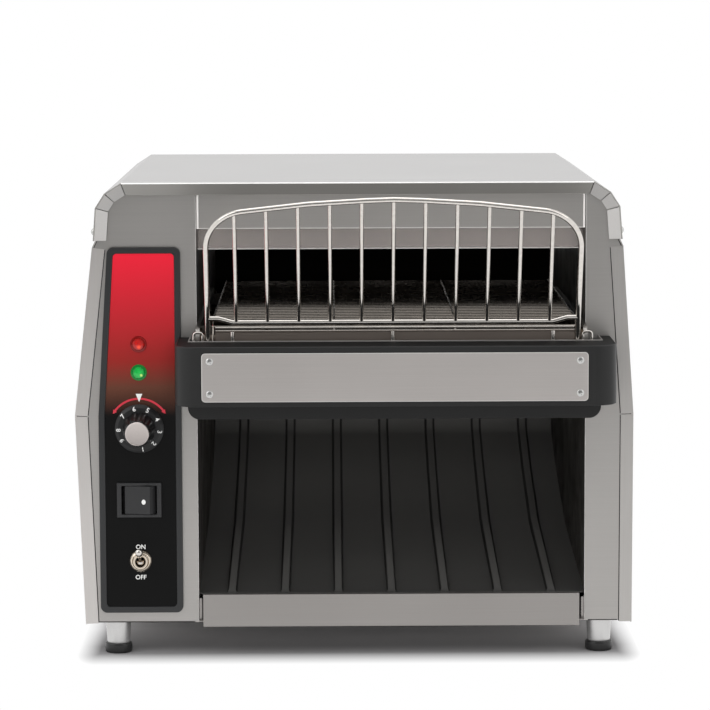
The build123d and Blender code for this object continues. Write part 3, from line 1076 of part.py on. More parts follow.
PARTS = {
    "top_cover": top_cover,
    "left_side_panel": lambda: side_panel(-1),
    "right_side_panel": lambda: side_panel(1),
    "front_fascia": front_fascia,
    "rear_panel": rear_panel,
    "base_pan": base_pan,
    "housing_screws": housing_screws,
    "foot_legs": foot_legs,
    "foot_pads": foot_pads,
    "left_tunnel_wall": lambda: tunnel_wall(-1),
    "right_tunnel_wall": lambda: tunnel_wall(1),
    "hood_front_plate": hood_front_plate,
    "hood_inner_plate": hood_inner_plate,
    "upper_reflector": upper_reflector,
    "upper_heaters": lambda: heaters(UPPER_HEATER_Z),
    "lower_reflector": lower_reflector,
    "lower_heaters": lambda: heaters(LOWER_HEATER_Z),
    "conveyor_rails": conveyor_rails,
    "conveyor_bushes": conveyor_bushes,
    "conveyor_belt": conveyor_belt,
    "drive_shaft": lambda: belt_shaft(DRIVE_Y, COUPLING_X),
    "drive_discs": lambda: belt_discs(DRIVE_Y),
    "idler_shaft": lambda: belt_shaft(IDLER_Y, LEFT_WALL_X + SEAT),
    "idler_discs": lambda: belt_discs(IDLER_Y),
    "shaft_coupling": shaft_coupling,
    "output_shaft": output_shaft,
    "motor_standoffs": motor_standoffs,
    "gearbox": gearbox,
    "gear_motor": gear_motor,
    "fan_frame": fan_frame,
    "fan_rotor": fan_rotor,
    "speed_board": speed_board,
    "terminal_block": terminal_block,
    "cord_inlet": cord_inlet,
    "discharge_chute": discharge_chute,
    "crumb_tray": crumb_tray,
    "bumper": bumper,
    "shelf_mount_plate": shelf_mount_plate,
    "catch_tray": catch_tray,
    "front_badge": front_badge,
    "badge_screws": badge_screws,
    "guard_seats": guard_seats,
    "guard_arch": guard_arch,
    "guard_rods": guard_rods,
    "guard_cross_wire": guard_cross_wire,
    "control_bezel": control_bezel,
    "control_label": control_label,
    "power_lamp": lambda: lamp(POWER_LAMP_Z),
    "ready_lamp": lambda: lamp(READY_LAMP_Z),
    "speed_pot": speed_pot,
    "knob_shaft": knob_shaft,
    "dial_skirt": dial_skirt,
    "knob_barrel": knob_barrel,
    "knob_cap": knob_cap,
    "rocker_frame": rocker_frame,
    "rocker_body": rocker_body,
    "rocker_paddle": rocker_paddle,
    "toggle_nut": toggle_nut,
    "toggle_body": toggle_body,
    "toggle_lever": toggle_lever,
}

if __name__ == "__main__":
    os.makedirs("parts", exist_ok=True)
    for name, make in PARTS.items():
        export_step(make(), f"parts/{name}.step")
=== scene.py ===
"""Conveyor toaster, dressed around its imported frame.

Sizes are in millimetres inside the classes and become metres when a piece is finished. The front
faces -Y, X runs to the right as one looks at the front, and Z is up.
"""
import json
import logging
from dataclasses import dataclass, field
from enum import Enum
from math import atan2, cos, hypot, pi, radians, sin, sqrt, tan
from typing import Iterable, Optional, Sequence

import bmesh
import bpy
from bmesh.types import BMEdge, BMesh, BMVert
from bpy.types import NodeSocket
from mathutils import Matrix, Quaternion, Vector
from mathutils.bvhtree import BVHTree

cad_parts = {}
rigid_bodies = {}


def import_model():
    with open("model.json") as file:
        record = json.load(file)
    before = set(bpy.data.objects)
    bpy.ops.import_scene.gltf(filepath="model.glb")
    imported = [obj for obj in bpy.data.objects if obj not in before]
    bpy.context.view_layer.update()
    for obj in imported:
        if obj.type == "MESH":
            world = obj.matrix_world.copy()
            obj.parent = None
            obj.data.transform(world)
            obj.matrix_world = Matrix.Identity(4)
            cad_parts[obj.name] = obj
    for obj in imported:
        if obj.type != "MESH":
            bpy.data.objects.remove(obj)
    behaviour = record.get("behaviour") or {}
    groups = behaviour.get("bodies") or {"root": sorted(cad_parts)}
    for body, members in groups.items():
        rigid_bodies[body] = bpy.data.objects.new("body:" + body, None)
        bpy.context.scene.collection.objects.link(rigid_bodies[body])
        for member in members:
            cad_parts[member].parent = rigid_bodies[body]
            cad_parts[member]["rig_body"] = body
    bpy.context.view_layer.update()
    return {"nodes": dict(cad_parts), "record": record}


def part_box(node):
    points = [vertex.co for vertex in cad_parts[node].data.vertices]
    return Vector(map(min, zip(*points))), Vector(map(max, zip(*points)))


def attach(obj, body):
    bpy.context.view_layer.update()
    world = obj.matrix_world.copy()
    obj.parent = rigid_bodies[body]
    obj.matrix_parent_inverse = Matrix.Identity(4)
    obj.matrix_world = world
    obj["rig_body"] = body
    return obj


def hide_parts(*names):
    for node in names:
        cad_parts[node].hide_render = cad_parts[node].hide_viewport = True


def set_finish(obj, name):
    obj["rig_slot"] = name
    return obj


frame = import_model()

MM = 0.001
TURN = 2 * pi
LOG = logging.getLogger("conveyor_toaster")
Point = tuple[float, float, float]
Colour = tuple[float, float, float]
Outline = Sequence[tuple[float, float]]
UPRIGHT = Matrix.Rotation(pi / 2, 4, "X")      # turns a flat shape to face -Y


# ---- Shader nodes
def linear(red: int, green: int, blue: int) -> Colour:
    """A colour of the eye's scale, 0 to 255, as the linear values that a shader takes."""
    shares = [value / 255 for value in (red, green, blue)]
    return tuple(one / 12.92 if one <= 0.04045 else ((one + 0.055) / 1.055) ** 2.4 for one in shares)


def shade(colour: Colour, factor: float) -> Colour:
    """A colour made lighter or darker by a factor."""
    return tuple(min(1.0, channel * factor) for channel in colour)


def rgba(colour: Colour) -> tuple[float, float, float, float]:
    """A colour with full opacity."""
    return (*colour, 1.0)


class Grain(Enum):
    """Direction of the fine lines in a brushed metal: scale of the noise on each axis."""
    ALONG_X = (9.0, 1500.0, 1500.0)
    ALONG_Y = (1500.0, 9.0, 1500.0)
    ALONG_Z = (1500.0, 1500.0, 9.0)


class NodeSheet:
    """Short calls for adding and joining the nodes of one shader tree."""

    def __init__(self, tree: bpy.types.NodeTree) -> None:
        """Clears the tree of a material or of the world."""
        self.tree = tree
        tree.nodes.clear()

    def add(self, kind: str, inputs: Optional[dict] = None, **settings: object) -> bpy.types.Node:
        """Adds a node.

        Args:
            kind: The node's type name.
            inputs: Values of its sockets by name or number; a socket of another node is linked.
            settings: Values of its own properties.

        Returns:
            The new node.
        """
        node = self.tree.nodes.new(kind)
        for key, value in settings.items():
            setattr(node, key, value)
        for key, value in (inputs or {}).items():
            if isinstance(value, NodeSocket):
                self.tree.links.new(value, node.inputs[key])
            else:
                node.inputs[key].default_value = value
        return node

    def math(self, operation: str, *values: object) -> NodeSocket:
        """A step of arithmetic on sockets or numbers."""
        return self.add("ShaderNodeMath", dict(enumerate(values)), operation=operation).outputs[0]

    def vector(self, operation: str, *values: object) -> NodeSocket:
        """A step of vector arithmetic; a length comes out as a number."""
        node = self.add("ShaderNodeVectorMath", dict(enumerate(values)), operation=operation)
        return node.outputs["Value" if operation == "LENGTH" else "Vector"]

    def axis(self, vector: NodeSocket, letter: str) -> NodeSocket:
        """One axis of a vector."""
        return self.add("ShaderNodeSeparateXYZ", {"Vector": vector}).outputs[letter]

    def place(self, scale: Sequence[float] = (1, 1, 1), shift: Sequence[float] = (0, 0, 0)) -> NodeSocket:
        """Object coordinates, moved and then scaled.

        Args:
            scale: Scale on each axis.
            shift: Point, in metres, that comes to lie at the origin.

        Returns:
            The vector socket.
        """
        place = self.add("ShaderNodeTexCoord").outputs["Object"]
        return self.vector("MULTIPLY", self.vector("SUBTRACT", place, tuple(shift)), tuple(scale))

    def noise(self, scale: float | Sequence[float], detail: float = 2.0, rough: float = 0.6) -> NodeSocket:
        """Noise on Object coordinates, from 0 to 1.

        Args:
            scale: Noise cells to a metre, on all axes or on each.
            detail: Octaves of finer noise.
            rough: Strength of the finer octaves.

        Returns:
            The noise's value socket.
        """
        cells = (scale,) * 3 if isinstance(scale, float) else scale
        return self.add("ShaderNodeTexNoise", {"Vector": self.place(cells), "Scale": 1.0, "Detail": detail,
                                               "Roughness": rough}).outputs["Fac"]

    def span(self, value: NodeSocket, low: float, high: float, start: float = 0.3, end: float = 0.7) -> NodeSocket:
        """Maps a value that runs from start to end to the span from low to high."""
        return self.add("ShaderNodeMapRange", {"Value": value, "From Min": start, "From Max": end,
                                               "To Min": low, "To Max": high}).outputs["Result"]

    def mix(self, share: NodeSocket, low: Colour, high: Colour, start: float = 0.3, end: float = 0.7) -> NodeSocket:
        """Colour that runs from low to high as a value runs from start to end."""
        ramp = self.add("ShaderNodeValToRGB", {"Fac": share})
        for stop, at, colour in zip(ramp.color_ramp.elements, (start, end), (low, high)):
            stop.position, stop.color = at, rgba(colour)
        return ramp.outputs["Color"]

    def tones(self, share: NodeSocket, tint: Colour, low: float, high: float, start: float = 0.3,
              end: float = 0.7) -> NodeSocket:
        """Colour that runs between two shades of one tint as a value runs from start to end."""
        return self.mix(share, shade(tint, low), shade(tint, high), start, end)

    def blend(self, share: NodeSocket, low: object, high: object) -> NodeSocket:
        """Mixes two colours, each a socket or a value, by a share from 0 to 1."""
        return self.add("ShaderNodeMix", {0: share, 6: low, 7: high}, data_type="RGBA").outputs[2]

    def choose(self, share: NodeSocket, low: object, high: object) -> NodeSocket:
        """Mixes two numbers, each a socket or a value, by a share from 0 to 1."""
        return self.add("ShaderNodeMix", {"Factor": share, "A": low, "B": high}).outputs["Result"]

    def bump(self, height: NodeSocket, strength: float, depth: float) -> NodeSocket:
        """Normal of a relief that is a number of millimetres deep."""
        return self.add("ShaderNodeBump", {"Height": height, "Strength": strength,
                                           "Distance": depth * MM}).outputs["Normal"]

    def surface(self, colour: NodeSocket, rough: object, normal: NodeSocket, metal: float = 0.0,
                more: Optional[dict] = None) -> None:
        """Closes the tree with one principled shader.

        Args:
            colour: Base colour.
            rough: Roughness, a socket or a value.
            normal: Normal of the relief.
            metal: Metallic share.
            more: Other inputs of the shader by name.
        """
        shader = self.add("ShaderNodeBsdfPrincipled", {"Base Color": colour, "Roughness": rough, "Normal": normal,
                                                       "Metallic": metal, **(more or {})})
        self.add("ShaderNodeOutputMaterial", {"Surface": shader.outputs[0]})


@dataclass(frozen=True)
class Finish:
    """What all finishes share: a name, and a material that is built once."""
    name: str

    def material(self) -> bpy.types.Material:
        """The finish's material, built the first time it is asked for."""
        name = f"{self.name}_finish"
        found = bpy.data.materials.get(name)
        if found is None:
            found = bpy.data.materials.new(name)
            found.use_nodes = True
            self.paint(NodeSheet(found.node_tree))
        return found

    def paint(self, sheet: NodeSheet) -> None:
        """Fills the material's node tree."""
        raise NotImplementedError


@dataclass(frozen=True)
class BrushedMetal(Finish):
    """Rolled or brushed metal with fine lines, faint clouds and a little uneven gloss."""
    tint: Colour
    grain: Grain = Grain.ALONG_X
    rough: float = 0.3
    contrast: float = 0.04
    relief: float = 0.012
    metal: float = 0.75
    uneven: float = 0.012
    depth: float = 0.04

    def paint(self, sheet: NodeSheet) -> None:
        """Lines from stretched noise, in the colour, the gloss and the relief."""
        lines = sheet.noise(self.grain.value, 4.0, 0.7)
        both = sheet.math("ADD", lines, sheet.noise(9.0))
        colour = sheet.tones(sheet.span(both, 0, 1, 0.7, 1.3), self.tint, 1 - self.contrast, 1 + self.contrast, 0, 1)
        gloss = sheet.span(lines, self.rough - self.uneven, self.rough + self.uneven)
        sheet.surface(colour, gloss, sheet.bump(lines, self.relief, self.depth), self.metal)


@dataclass(frozen=True)
class StainedMetal(Finish):
    """Metal that heat has darkened in clouds."""
    clean: Colour
    stained: Colour
    rough: float = 0.4
    cell: float = 25.0
    speck: float = 900.0
    depth: float = 0.05

    def paint(self, sheet: NodeSheet) -> None:
        """Two sizes of clouds, dull where it is dark."""
        clouds = sheet.noise(self.cell, 5.0, 0.65)
        colour = sheet.mix(clouds, self.stained, self.clean, 0.35, 0.65)
        gloss = sheet.span(clouds, self.rough + 0.15, self.rough - 0.08)
        sheet.surface(colour, gloss, sheet.bump(sheet.noise(self.speck), 0.15, self.depth), 1.0)


@dataclass(frozen=True)
class BrightMetal(Finish):
    """Plated or polished metal with faint drawing marks."""
    tint: Colour
    rough: float = 0.14
    cell: float = 320.0
    depth: float = 0.1

    def paint(self, sheet: NodeSheet) -> None:
        """Fine uneven gloss and a very low ripple."""
        ripple = sheet.noise(self.cell, 3.0)
        gloss = sheet.span(ripple, self.rough - 0.04, self.rough + 0.07)
        sheet.surface(sheet.tones(ripple, self.tint, 0.93, 1.05), gloss, sheet.bump(ripple, 0.06, self.depth), 1.0)


@dataclass(frozen=True)
class Coating(Finish):
    """Paint, enamel, moulded plastic or rubber with a fine even grain."""
    tint: Colour
    rough: float = 0.4
    cell: float = 1400.0
    relief: float = 0.15
    spread: float = 0.12
    gloss: float = 0.5
    cloud: float = 14.0
    depth: float = 0.06

    def paint(self, sheet: NodeSheet) -> None:
        """Grain in the relief, and a slow change of colour and gloss."""
        clouds = sheet.noise(self.cloud)
        sheet.surface(self.colour(sheet, clouds), sheet.span(clouds, self.rough - 0.04, self.rough + 0.05),
                      sheet.bump(sheet.noise(self.cell), self.relief, self.depth),
                      more={"Specular IOR Level": self.gloss})

    def colour(self, sheet: NodeSheet, clouds: NodeSocket) -> NodeSocket:
        """Colour of the coat, a little lighter and darker in clouds."""
        return sheet.tones(clouds, self.tint, 1 - self.spread, 1 + self.spread)


@dataclass(frozen=True)
class FadedPrint(Finish):
    """Printed film whose colour fades with height, under a satin lacquer."""
    stops: tuple[tuple[float, Colour], ...]
    low: float
    high: float
    rough: float = 0.35
    wander: float = 0.004
    grain: float = 1200.0
    depth: float = 0.03

    def paint(self, sheet: NodeSheet) -> None:
        """The fade runs up Z, with a faint grain of the print."""
        grain = sheet.noise(self.grain)
        level = sheet.span(sheet.axis(sheet.place(), "Z"), 0.0, 1.0, self.low * MM, self.high * MM)
        level = sheet.math("ADD", level, sheet.span(grain, -self.wander, self.wander))
        ramp = sheet.add("ShaderNodeValToRGB", {"Fac": level})
        stripes = ramp.color_ramp.elements
        stripes.remove(stripes[1])
        stripes[0].position, stripes[0].color = self.stops[0][0], rgba(self.stops[0][1])
        for at, colour in self.stops[1:]:
            stripes.new(at).color = rgba(colour)
        sheet.surface(ramp.outputs["Color"], self.rough, sheet.bump(grain, 0.05, self.depth),
                      more={"Specular IOR Level": 0.1})


@dataclass(frozen=True)
class JewelLens(Finish):
    """Clear coloured plastic with a pebbled inner face, and a lit spot behind it."""
    tint: Colour
    spot: Colour
    centre: Point
    spot_at: tuple[float, float] = (0.0, 0.0)
    spot_size: float = 1.6
    radius: float = 6.2
    glow: float = 0.3
    pebble: float = 620.0
    depth: float = 0.2

    def paint(self, sheet: NodeSheet) -> None:
        """Dark towards the rim and between the pebbles, bright at the spot."""
        pebbles = sheet.add("ShaderNodeTexVoronoi", {"Vector": sheet.place((self.pebble,) * 3),
                                                     "Scale": 1.0}).outputs["Distance"]
        aside, rise = self.spot_at
        middle = Vector(self.centre) * MM
        away, near = (sheet.vector("LENGTH", sheet.place((1.0, 0.0, 1.0), point))
                      for point in (middle, middle + Vector((aside, 0, rise)) * MM))
        rim = sheet.span(away, 0.0, 1.0, self.radius * MM * 0.35, self.radius * MM * 0.95)
        both = sheet.math("ADD", rim, sheet.span(pebbles, 0.0, 0.4, 0.1, 0.8))
        body = sheet.tones(both, self.tint, 1.1, 0.35, 0.0, 1.0)
        colour = sheet.blend(sheet.span(near, 1.0, 0.0, 0.0, self.spot_size * MM), body, rgba(self.spot))
        sheet.surface(colour, 0.12, sheet.bump(pebbles, 0.2, self.depth),
                      more={"Coat Weight": 0.4, "IOR": 1.49, "Emission Color": colour,
                            "Emission Strength": self.glow})


@dataclass(frozen=True)
class InnerShadeSteel(Finish):
    """Sheet that is plain steel on its rear face and darkened with painted shade on its inner one."""
    tint: Colour
    inner_painted_shade: Colour
    outer_from: float
    step: float = 0.1
    depth: float = 0.04

    def paint(self, sheet: NodeSheet) -> None:
        """The tone changes at a plane across the sheet's thickness."""
        lines = sheet.noise(Grain.ALONG_X.value, 4.0, 0.7)
        outside = sheet.span(sheet.axis(sheet.place(), "Y"), 0.0, 1.0,
                             (self.outer_from - self.step) * MM, self.outer_from * MM)
        colour = sheet.blend(outside, sheet.tones(lines, self.inner_painted_shade, 0.8, 1.2),
                             sheet.tones(lines, self.tint, 0.96, 1.04))
        sheet.surface(colour, sheet.span(outside, 0.6, 0.32, 0.0, 1.0), sheet.bump(lines, 0.05, self.depth), 1.0)


@dataclass(frozen=True)
class RibbedEnamel(Coating):
    """Baked enamel, with painted shade on the flanks of the ribs and towards the mouth, and painted light higher up.
    """
    rough: float = 0.5
    cell: float = 700.0
    gloss: float = 0.4
    # painted shade below the first height, painted light above the second, and painted shade on the ribs' flanks
    shade_painted_below: float = 46.0
    light_painted_above: float = 66.0
    flank_painted_shade: Colour = (0.002, 0.002, 0.002)

    def colour(self, sheet: NodeSheet, clouds: NodeSocket) -> NodeSocket:
        """Painted shade and light: the tone follows the height and how far the surface leans to the side."""
        lean = sheet.math("ABSOLUTE", sheet.axis(sheet.add("ShaderNodeTexCoord").outputs["Normal"], "X"))
        height = sheet.span(sheet.axis(sheet.place(), "Z"), 0.0, 1.0, self.shade_painted_below * MM, self.light_painted_above * MM)
        flat = sheet.blend(height, sheet.tones(clouds, self.tint, 0.46, 0.54),
                           sheet.tones(clouds, self.tint, 1.4, 1.58))
        return sheet.blend(sheet.span(lean, 0.0, 0.8, 0.1, 0.6), flat, rgba(self.flank_painted_shade))


@dataclass(frozen=True)
class SpunMetal(Finish):
    """Metal disc with turned rings about an axis along Y."""
    tint: Colour
    centre: Point
    rough: float = 0.3
    rings: float = 2600.0
    depth: float = 0.03

    def paint(self, sheet: NodeSheet) -> None:
        """Rings from noise that reads only the distance from the axis."""
        radius = sheet.vector("LENGTH", sheet.place((1.0, 0.0, 1.0), Vector(self.centre) * MM))
        rings = sheet.add("ShaderNodeTexNoise", {"W": radius, "Scale": self.rings, "Detail": 2.0},
                          noise_dimensions="1D").outputs["Fac"]
        gloss = sheet.span(rings, self.rough - 0.05, self.rough + 0.06)
        sheet.surface(sheet.tones(rings, self.tint, 0.92, 1.06), gloss, sheet.bump(rings, 0.15, self.depth), 1.0)


# ---- Modelling calls
def pick(geometry: Iterable, kind: type) -> list:
    """The vertices, edges or faces among what an operator made."""
    return [item for item in geometry if isinstance(item, kind)]


def move(bm: BMesh, verts: Iterable[BMVert], matrix: Matrix) -> None:
    """Applies a matrix to some vertices."""
    bmesh.ops.transform(bm, matrix=matrix, verts=list(verts))


def fresh(bm: BMesh, before: set[BMVert]) -> list[BMVert]:
    """The vertices that aren't among the earlier ones."""
    return [vert for vert in bm.verts if vert not in before]


def face_out(bm: BMesh, verts: Iterable[BMVert]) -> None:
    """Turns the faces at some vertices outwards."""
    bmesh.ops.recalc_face_normals(bm, faces=list({face for vert in verts for face in vert.link_faces}))


def bevel(bm: BMesh, edges: Iterable[BMEdge], width: float, segments: int = 2, slot: int = -1) -> None:
    """Rounds some edges; the new faces take a finish by its number, or that of the faces beside them."""
    bmesh.ops.bevel(bm, geom=list(edges), offset=width, offset_type="OFFSET", segments=segments, profile=0.5,
                    affect="EDGES", clamp_overlap=True, material=slot)


def facing(direction: Sequence[float], origin: Sequence[float] = (0, 0, 0)) -> Matrix:
    """Matrix that turns +Z to a direction and moves the origin to a point."""
    turn = Vector((0, 0, 1)).rotation_difference(Vector(direction).normalized())
    return Matrix.Translation(Vector(origin)) @ turn.to_matrix().to_4x4()


def turned(bm: BMesh, profile: Outline, place: Matrix, steps: int = 48) -> None:
    """Spins a profile of (radius, height) points fully round +Z and then places it.

    Args:
        bm: The bmesh that gets the shape.
        profile: The outline from one end to the other; a radius of 0 closes an end.
        place: Placement of the turned shape.
        steps: Steps of the full turn.
    """
    before = set(bm.verts)
    line = [bm.verts.new((radius, 0, height)) for radius, height in profile]
    edges = [bm.edges.new(pair) for pair in zip(line, line[1:])]
    bmesh.ops.spin(bm, geom=line + edges, cent=(0, 0, 0), axis=(0, 0, 1), dvec=(0, 0, 0),
                   angle=TURN, steps=steps, use_merge=True, use_duplicate=False)
    bmesh.ops.remove_doubles(bm, verts=fresh(bm, before), dist=1e-4)
    verts = fresh(bm, before)
    face_out(bm, verts)
    move(bm, verts, place)


def rod(bm: BMesh, start: Sequence[float], end: Sequence[float], radius: float, segments: int = 24) -> None:
    """Adds a round bar between two points."""
    run, middle = Vector(end) - Vector(start), (Vector(start) + Vector(end)) / 2
    bmesh.ops.create_cone(bm, cap_ends=True, segments=segments, radius1=radius, radius2=radius,
                          depth=run.length, matrix=facing(run, middle))


def box(bm: BMesh, low: Sequence[float], high: Sequence[float], edge: float) -> None:
    """Adds a box between two corners, with bevelled edges."""
    before = set(bm.verts)
    size = Vector(high) - Vector(low)
    bmesh.ops.create_cube(bm, size=1.0, matrix=Matrix.LocRotScale((Vector(low) + Vector(high)) / 2, None, size))
    bevel(bm, {item for vert in fresh(bm, before) for item in vert.link_edges}, edge)


def rounded_line(points: Sequence[Sequence[float]], radii: Sequence[float], step: float) -> list[Vector]:
    """A line of points with an arc at each inner point.

    Args:
        points: The corner points.
        radii: Bend radius of each inner point.
        step: Degrees of turn between two points of an arc.

    Returns:
        The points of the bent line.
    """
    corners = [Vector(point) for point in points]
    line = [corners[0]]
    for before, corner, after, radius in zip(corners, corners[1:], corners[2:], radii):
        back, on = (before - corner).normalized(), (after - corner).normalized()
        turn = pi - back.angle(on)
        arm = radius * tan(turn / 2)
        centre = corner + (back + on).normalized() * (radius / cos(turn / 2))
        first = corner + back * arm - centre
        count = max(2, round(turn / radians(step)))
        axis = first.cross(corner + on * arm - centre).normalized()
        line += [centre + Quaternion(axis, turn * i / count) @ first for i in range(count + 1)]
    return line + [corners[-1]]


def wire(bm: BMesh, line: Sequence[Vector], radius: float, segments: int = 16, closed: bool = False) -> None:
    """Sweeps a ring along a line by extruding it from point to point.

    Args:
        bm: The bmesh that gets the wire.
        line: Points of the wire's middle line.
        radius: The wire's radius.
        segments: Sides of the wire's section.
        closed: Whether the last point joins the first one.
    """
    before, count = set(bm.verts), len(line)
    if closed:
        tangents = [(line[(i + 1) % count] - line[i - 1]).normalized() for i in range(count)]
    else:
        tangents = [(line[min(i + 1, count - 1)] - line[max(i - 1, 0)]).normalized() for i in range(count)]
    ring = bmesh.ops.create_circle(bm, cap_ends=False, segments=segments, radius=radius,
                                   matrix=facing(tangents[0], line[0]))["verts"]
    first = edges = list({edge for vert in ring for edge in vert.link_edges})
    for i in range(1, count):
        made = bmesh.ops.extrude_edge_only(bm, edges=edges)["geom"]
        edges = pick(made, BMEdge)
        turn = tangents[i - 1].rotation_difference(tangents[i]).to_matrix().to_4x4()
        move(bm, pick(made, BMVert), Matrix.Translation(line[i]) @ turn @ Matrix.Translation(-line[i - 1]))
    if closed:
        bmesh.ops.bridge_loops(bm, edges=first + edges)
    else:
        bmesh.ops.contextual_create(bm, geom=first)
        bmesh.ops.contextual_create(bm, geom=edges)
    face_out(bm, fresh(bm, before))


def bead(bm: BMesh, centre: Sequence[float], size: Sequence[float]) -> None:
    """Adds a small rounded lump, such as a spot of weld."""
    bmesh.ops.create_icosphere(bm, subdivisions=2, radius=1.0,
                               matrix=Matrix.LocRotScale(Vector(centre), None, Vector(size)))


def thicken(bm: BMesh, thick: float) -> None:
    """Gives a flat mark its thickness, towards +Z."""
    grown = bmesh.ops.extrude_face_region(bm, geom=bm.faces[:])["geom"]
    bmesh.ops.translate(bm, verts=pick(grown, BMVert), vec=(0, 0, thick))
    bmesh.ops.recalc_face_normals(bm, faces=bm.faces)


def linked(name: str, data: bpy.types.ID) -> bpy.types.Object:
    """A new object in the scene that shows some data."""
    made = bpy.data.objects.new(name, data)
    bpy.context.scene.collection.objects.link(made)
    return made


@dataclass(frozen=True)
class ScrewHead:
    """Domed screw head with a cross recess."""
    radius: float
    height: float
    recess: float
    cells: int = 9
    crown: float = 0.75
    skirt: float = 0.35
    slot_half: float = 0.13
    slot_reach: float = 0.62

    def add(self, bm: BMesh, place: Matrix) -> None:
        """Adds the head to a bmesh, its seat on the placement's XY plane and +Z out of it."""
        before = set(bm.verts)
        bmesh.ops.create_grid(bm, x_segments=self.cells, y_segments=self.cells, size=1.0)
        verts = fresh(bm, before)
        for vert in verts:
            x, y = vert.co.x, vert.co.y
            disc = Vector((x * sqrt(1 - y * y / 2), y * sqrt(1 - x * x / 2), 0))
            dome = max(0.0, sqrt(max(0.0, 1 - self.crown * disc.length_squared)) * 2 - 1)
            rise = self.height * (self.skirt + (1 - self.skirt) * dome)
            vert.co = Vector((disc.x * self.radius, disc.y * self.radius, rise))
        middles = {face: face.calc_center_median() for vert in verts for face in vert.link_faces}
        cross = [face for face, at in middles.items() if min(abs(at.x), abs(at.y)) < self.radius * self.slot_half
                 and at.length < self.radius * self.slot_reach]
        rim = [edge for edge in {edge for vert in verts for edge in vert.link_edges} if edge.is_boundary]
        for vert in pick(bmesh.ops.extrude_edge_only(bm, edges=rim)["geom"], BMVert):
            vert.co.z = 0.0
        floor = pick(bmesh.ops.extrude_face_region(bm, geom=cross)["geom"], BMVert)
        bmesh.ops.delete(bm, geom=cross, context="FACES_ONLY")
        bmesh.ops.translate(bm, verts=floor, vec=(0, 0, -self.recess))
        bmesh.ops.scale(bm, verts=floor, vec=(0.8, 0.8, 1.0))
        verts = fresh(bm, before)
        face_out(bm, verts)
        move(bm, verts, place)


@dataclass(frozen=True)
class Span:
    """A box in millimetres."""
    low: Vector
    high: Vector

    @classmethod
    def of(cls, node: str) -> "Span":
        """The box of a CAD node at rest."""
        low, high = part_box(node)
        return cls(low / MM, high / MM)

    @classmethod
    def around(cls, verts: Iterable[BMVert]) -> "Span":
        """The box of some vertices."""
        points = [vert.co for vert in verts]
        return cls(*(Vector([extreme(point[i] for point in points) for i in range(3)]) for extreme in (min, max)))

    @property
    def mid(self) -> Vector:
        """Middle of the box."""
        return (self.low + self.high) / 2

    @property
    def size(self) -> Vector:
        """Lengths of the box."""
        return self.high - self.low

    def ahead(self, y: float) -> Matrix:
        """Placement on the box's axis along Y, with +Z towards the front."""
        return facing((0, -1, 0), (self.mid.x, y, self.mid.z))


def slot_of(node: str) -> str:
    """The material slot that the record gives a CAD node."""
    return next(row["material_slot"] for row in frame["record"]["subparts"] if row["node"] == node)


def islands(bm: BMesh) -> list[list[BMVert]]:
    """The separate bodies of a bmesh, each as a list of vertices."""
    left, found = set(bm.verts), []
    while left:
        open_ends = [left.pop()]
        island = list(open_ends)
        while open_ends:
            for vert in [vert for edge in open_ends.pop().link_edges for vert in edge.verts if vert in left]:
                left.discard(vert)
                open_ends.append(vert)
                island.append(vert)
        found.append(island)
    return sorted(found, key=lambda part: tuple(round(value, 3) for value in Span.around(part).low))


def add_lettering(bm: BMesh, text: str, height: float, place: Matrix, weight: float = 0.02) -> None:
    """Adds flat text, centred on the placement's origin in its XY plane, with its face towards +Z.

    Args:
        bm: The bmesh that gets the text.
        text: The characters.
        height: Height of the characters.
        place: Placement of the text.
        weight: Extra thickness of the strokes, as a share of the font's size.
    """
    curve = bpy.data.curves.new("lettering", "FONT")
    curve.body, curve.size, curve.extrude, curve.offset = text, 1.0, 0.012, weight
    curve.resolution_u = 3
    holder = bpy.data.objects.new("lettering", curve)
    mesh = bpy.data.meshes.new_from_object(holder)
    before = set(bm.verts)
    bm.from_mesh(mesh)
    bpy.data.objects.remove(holder)
    bpy.data.curves.remove(curve)
    bpy.data.meshes.remove(mesh)
    verts = fresh(bm, before)
    span = Span.around(verts)
    move(bm, verts, place @ Matrix.Scale(height / span.size.y, 4) @ Matrix.Translation(-span.mid))


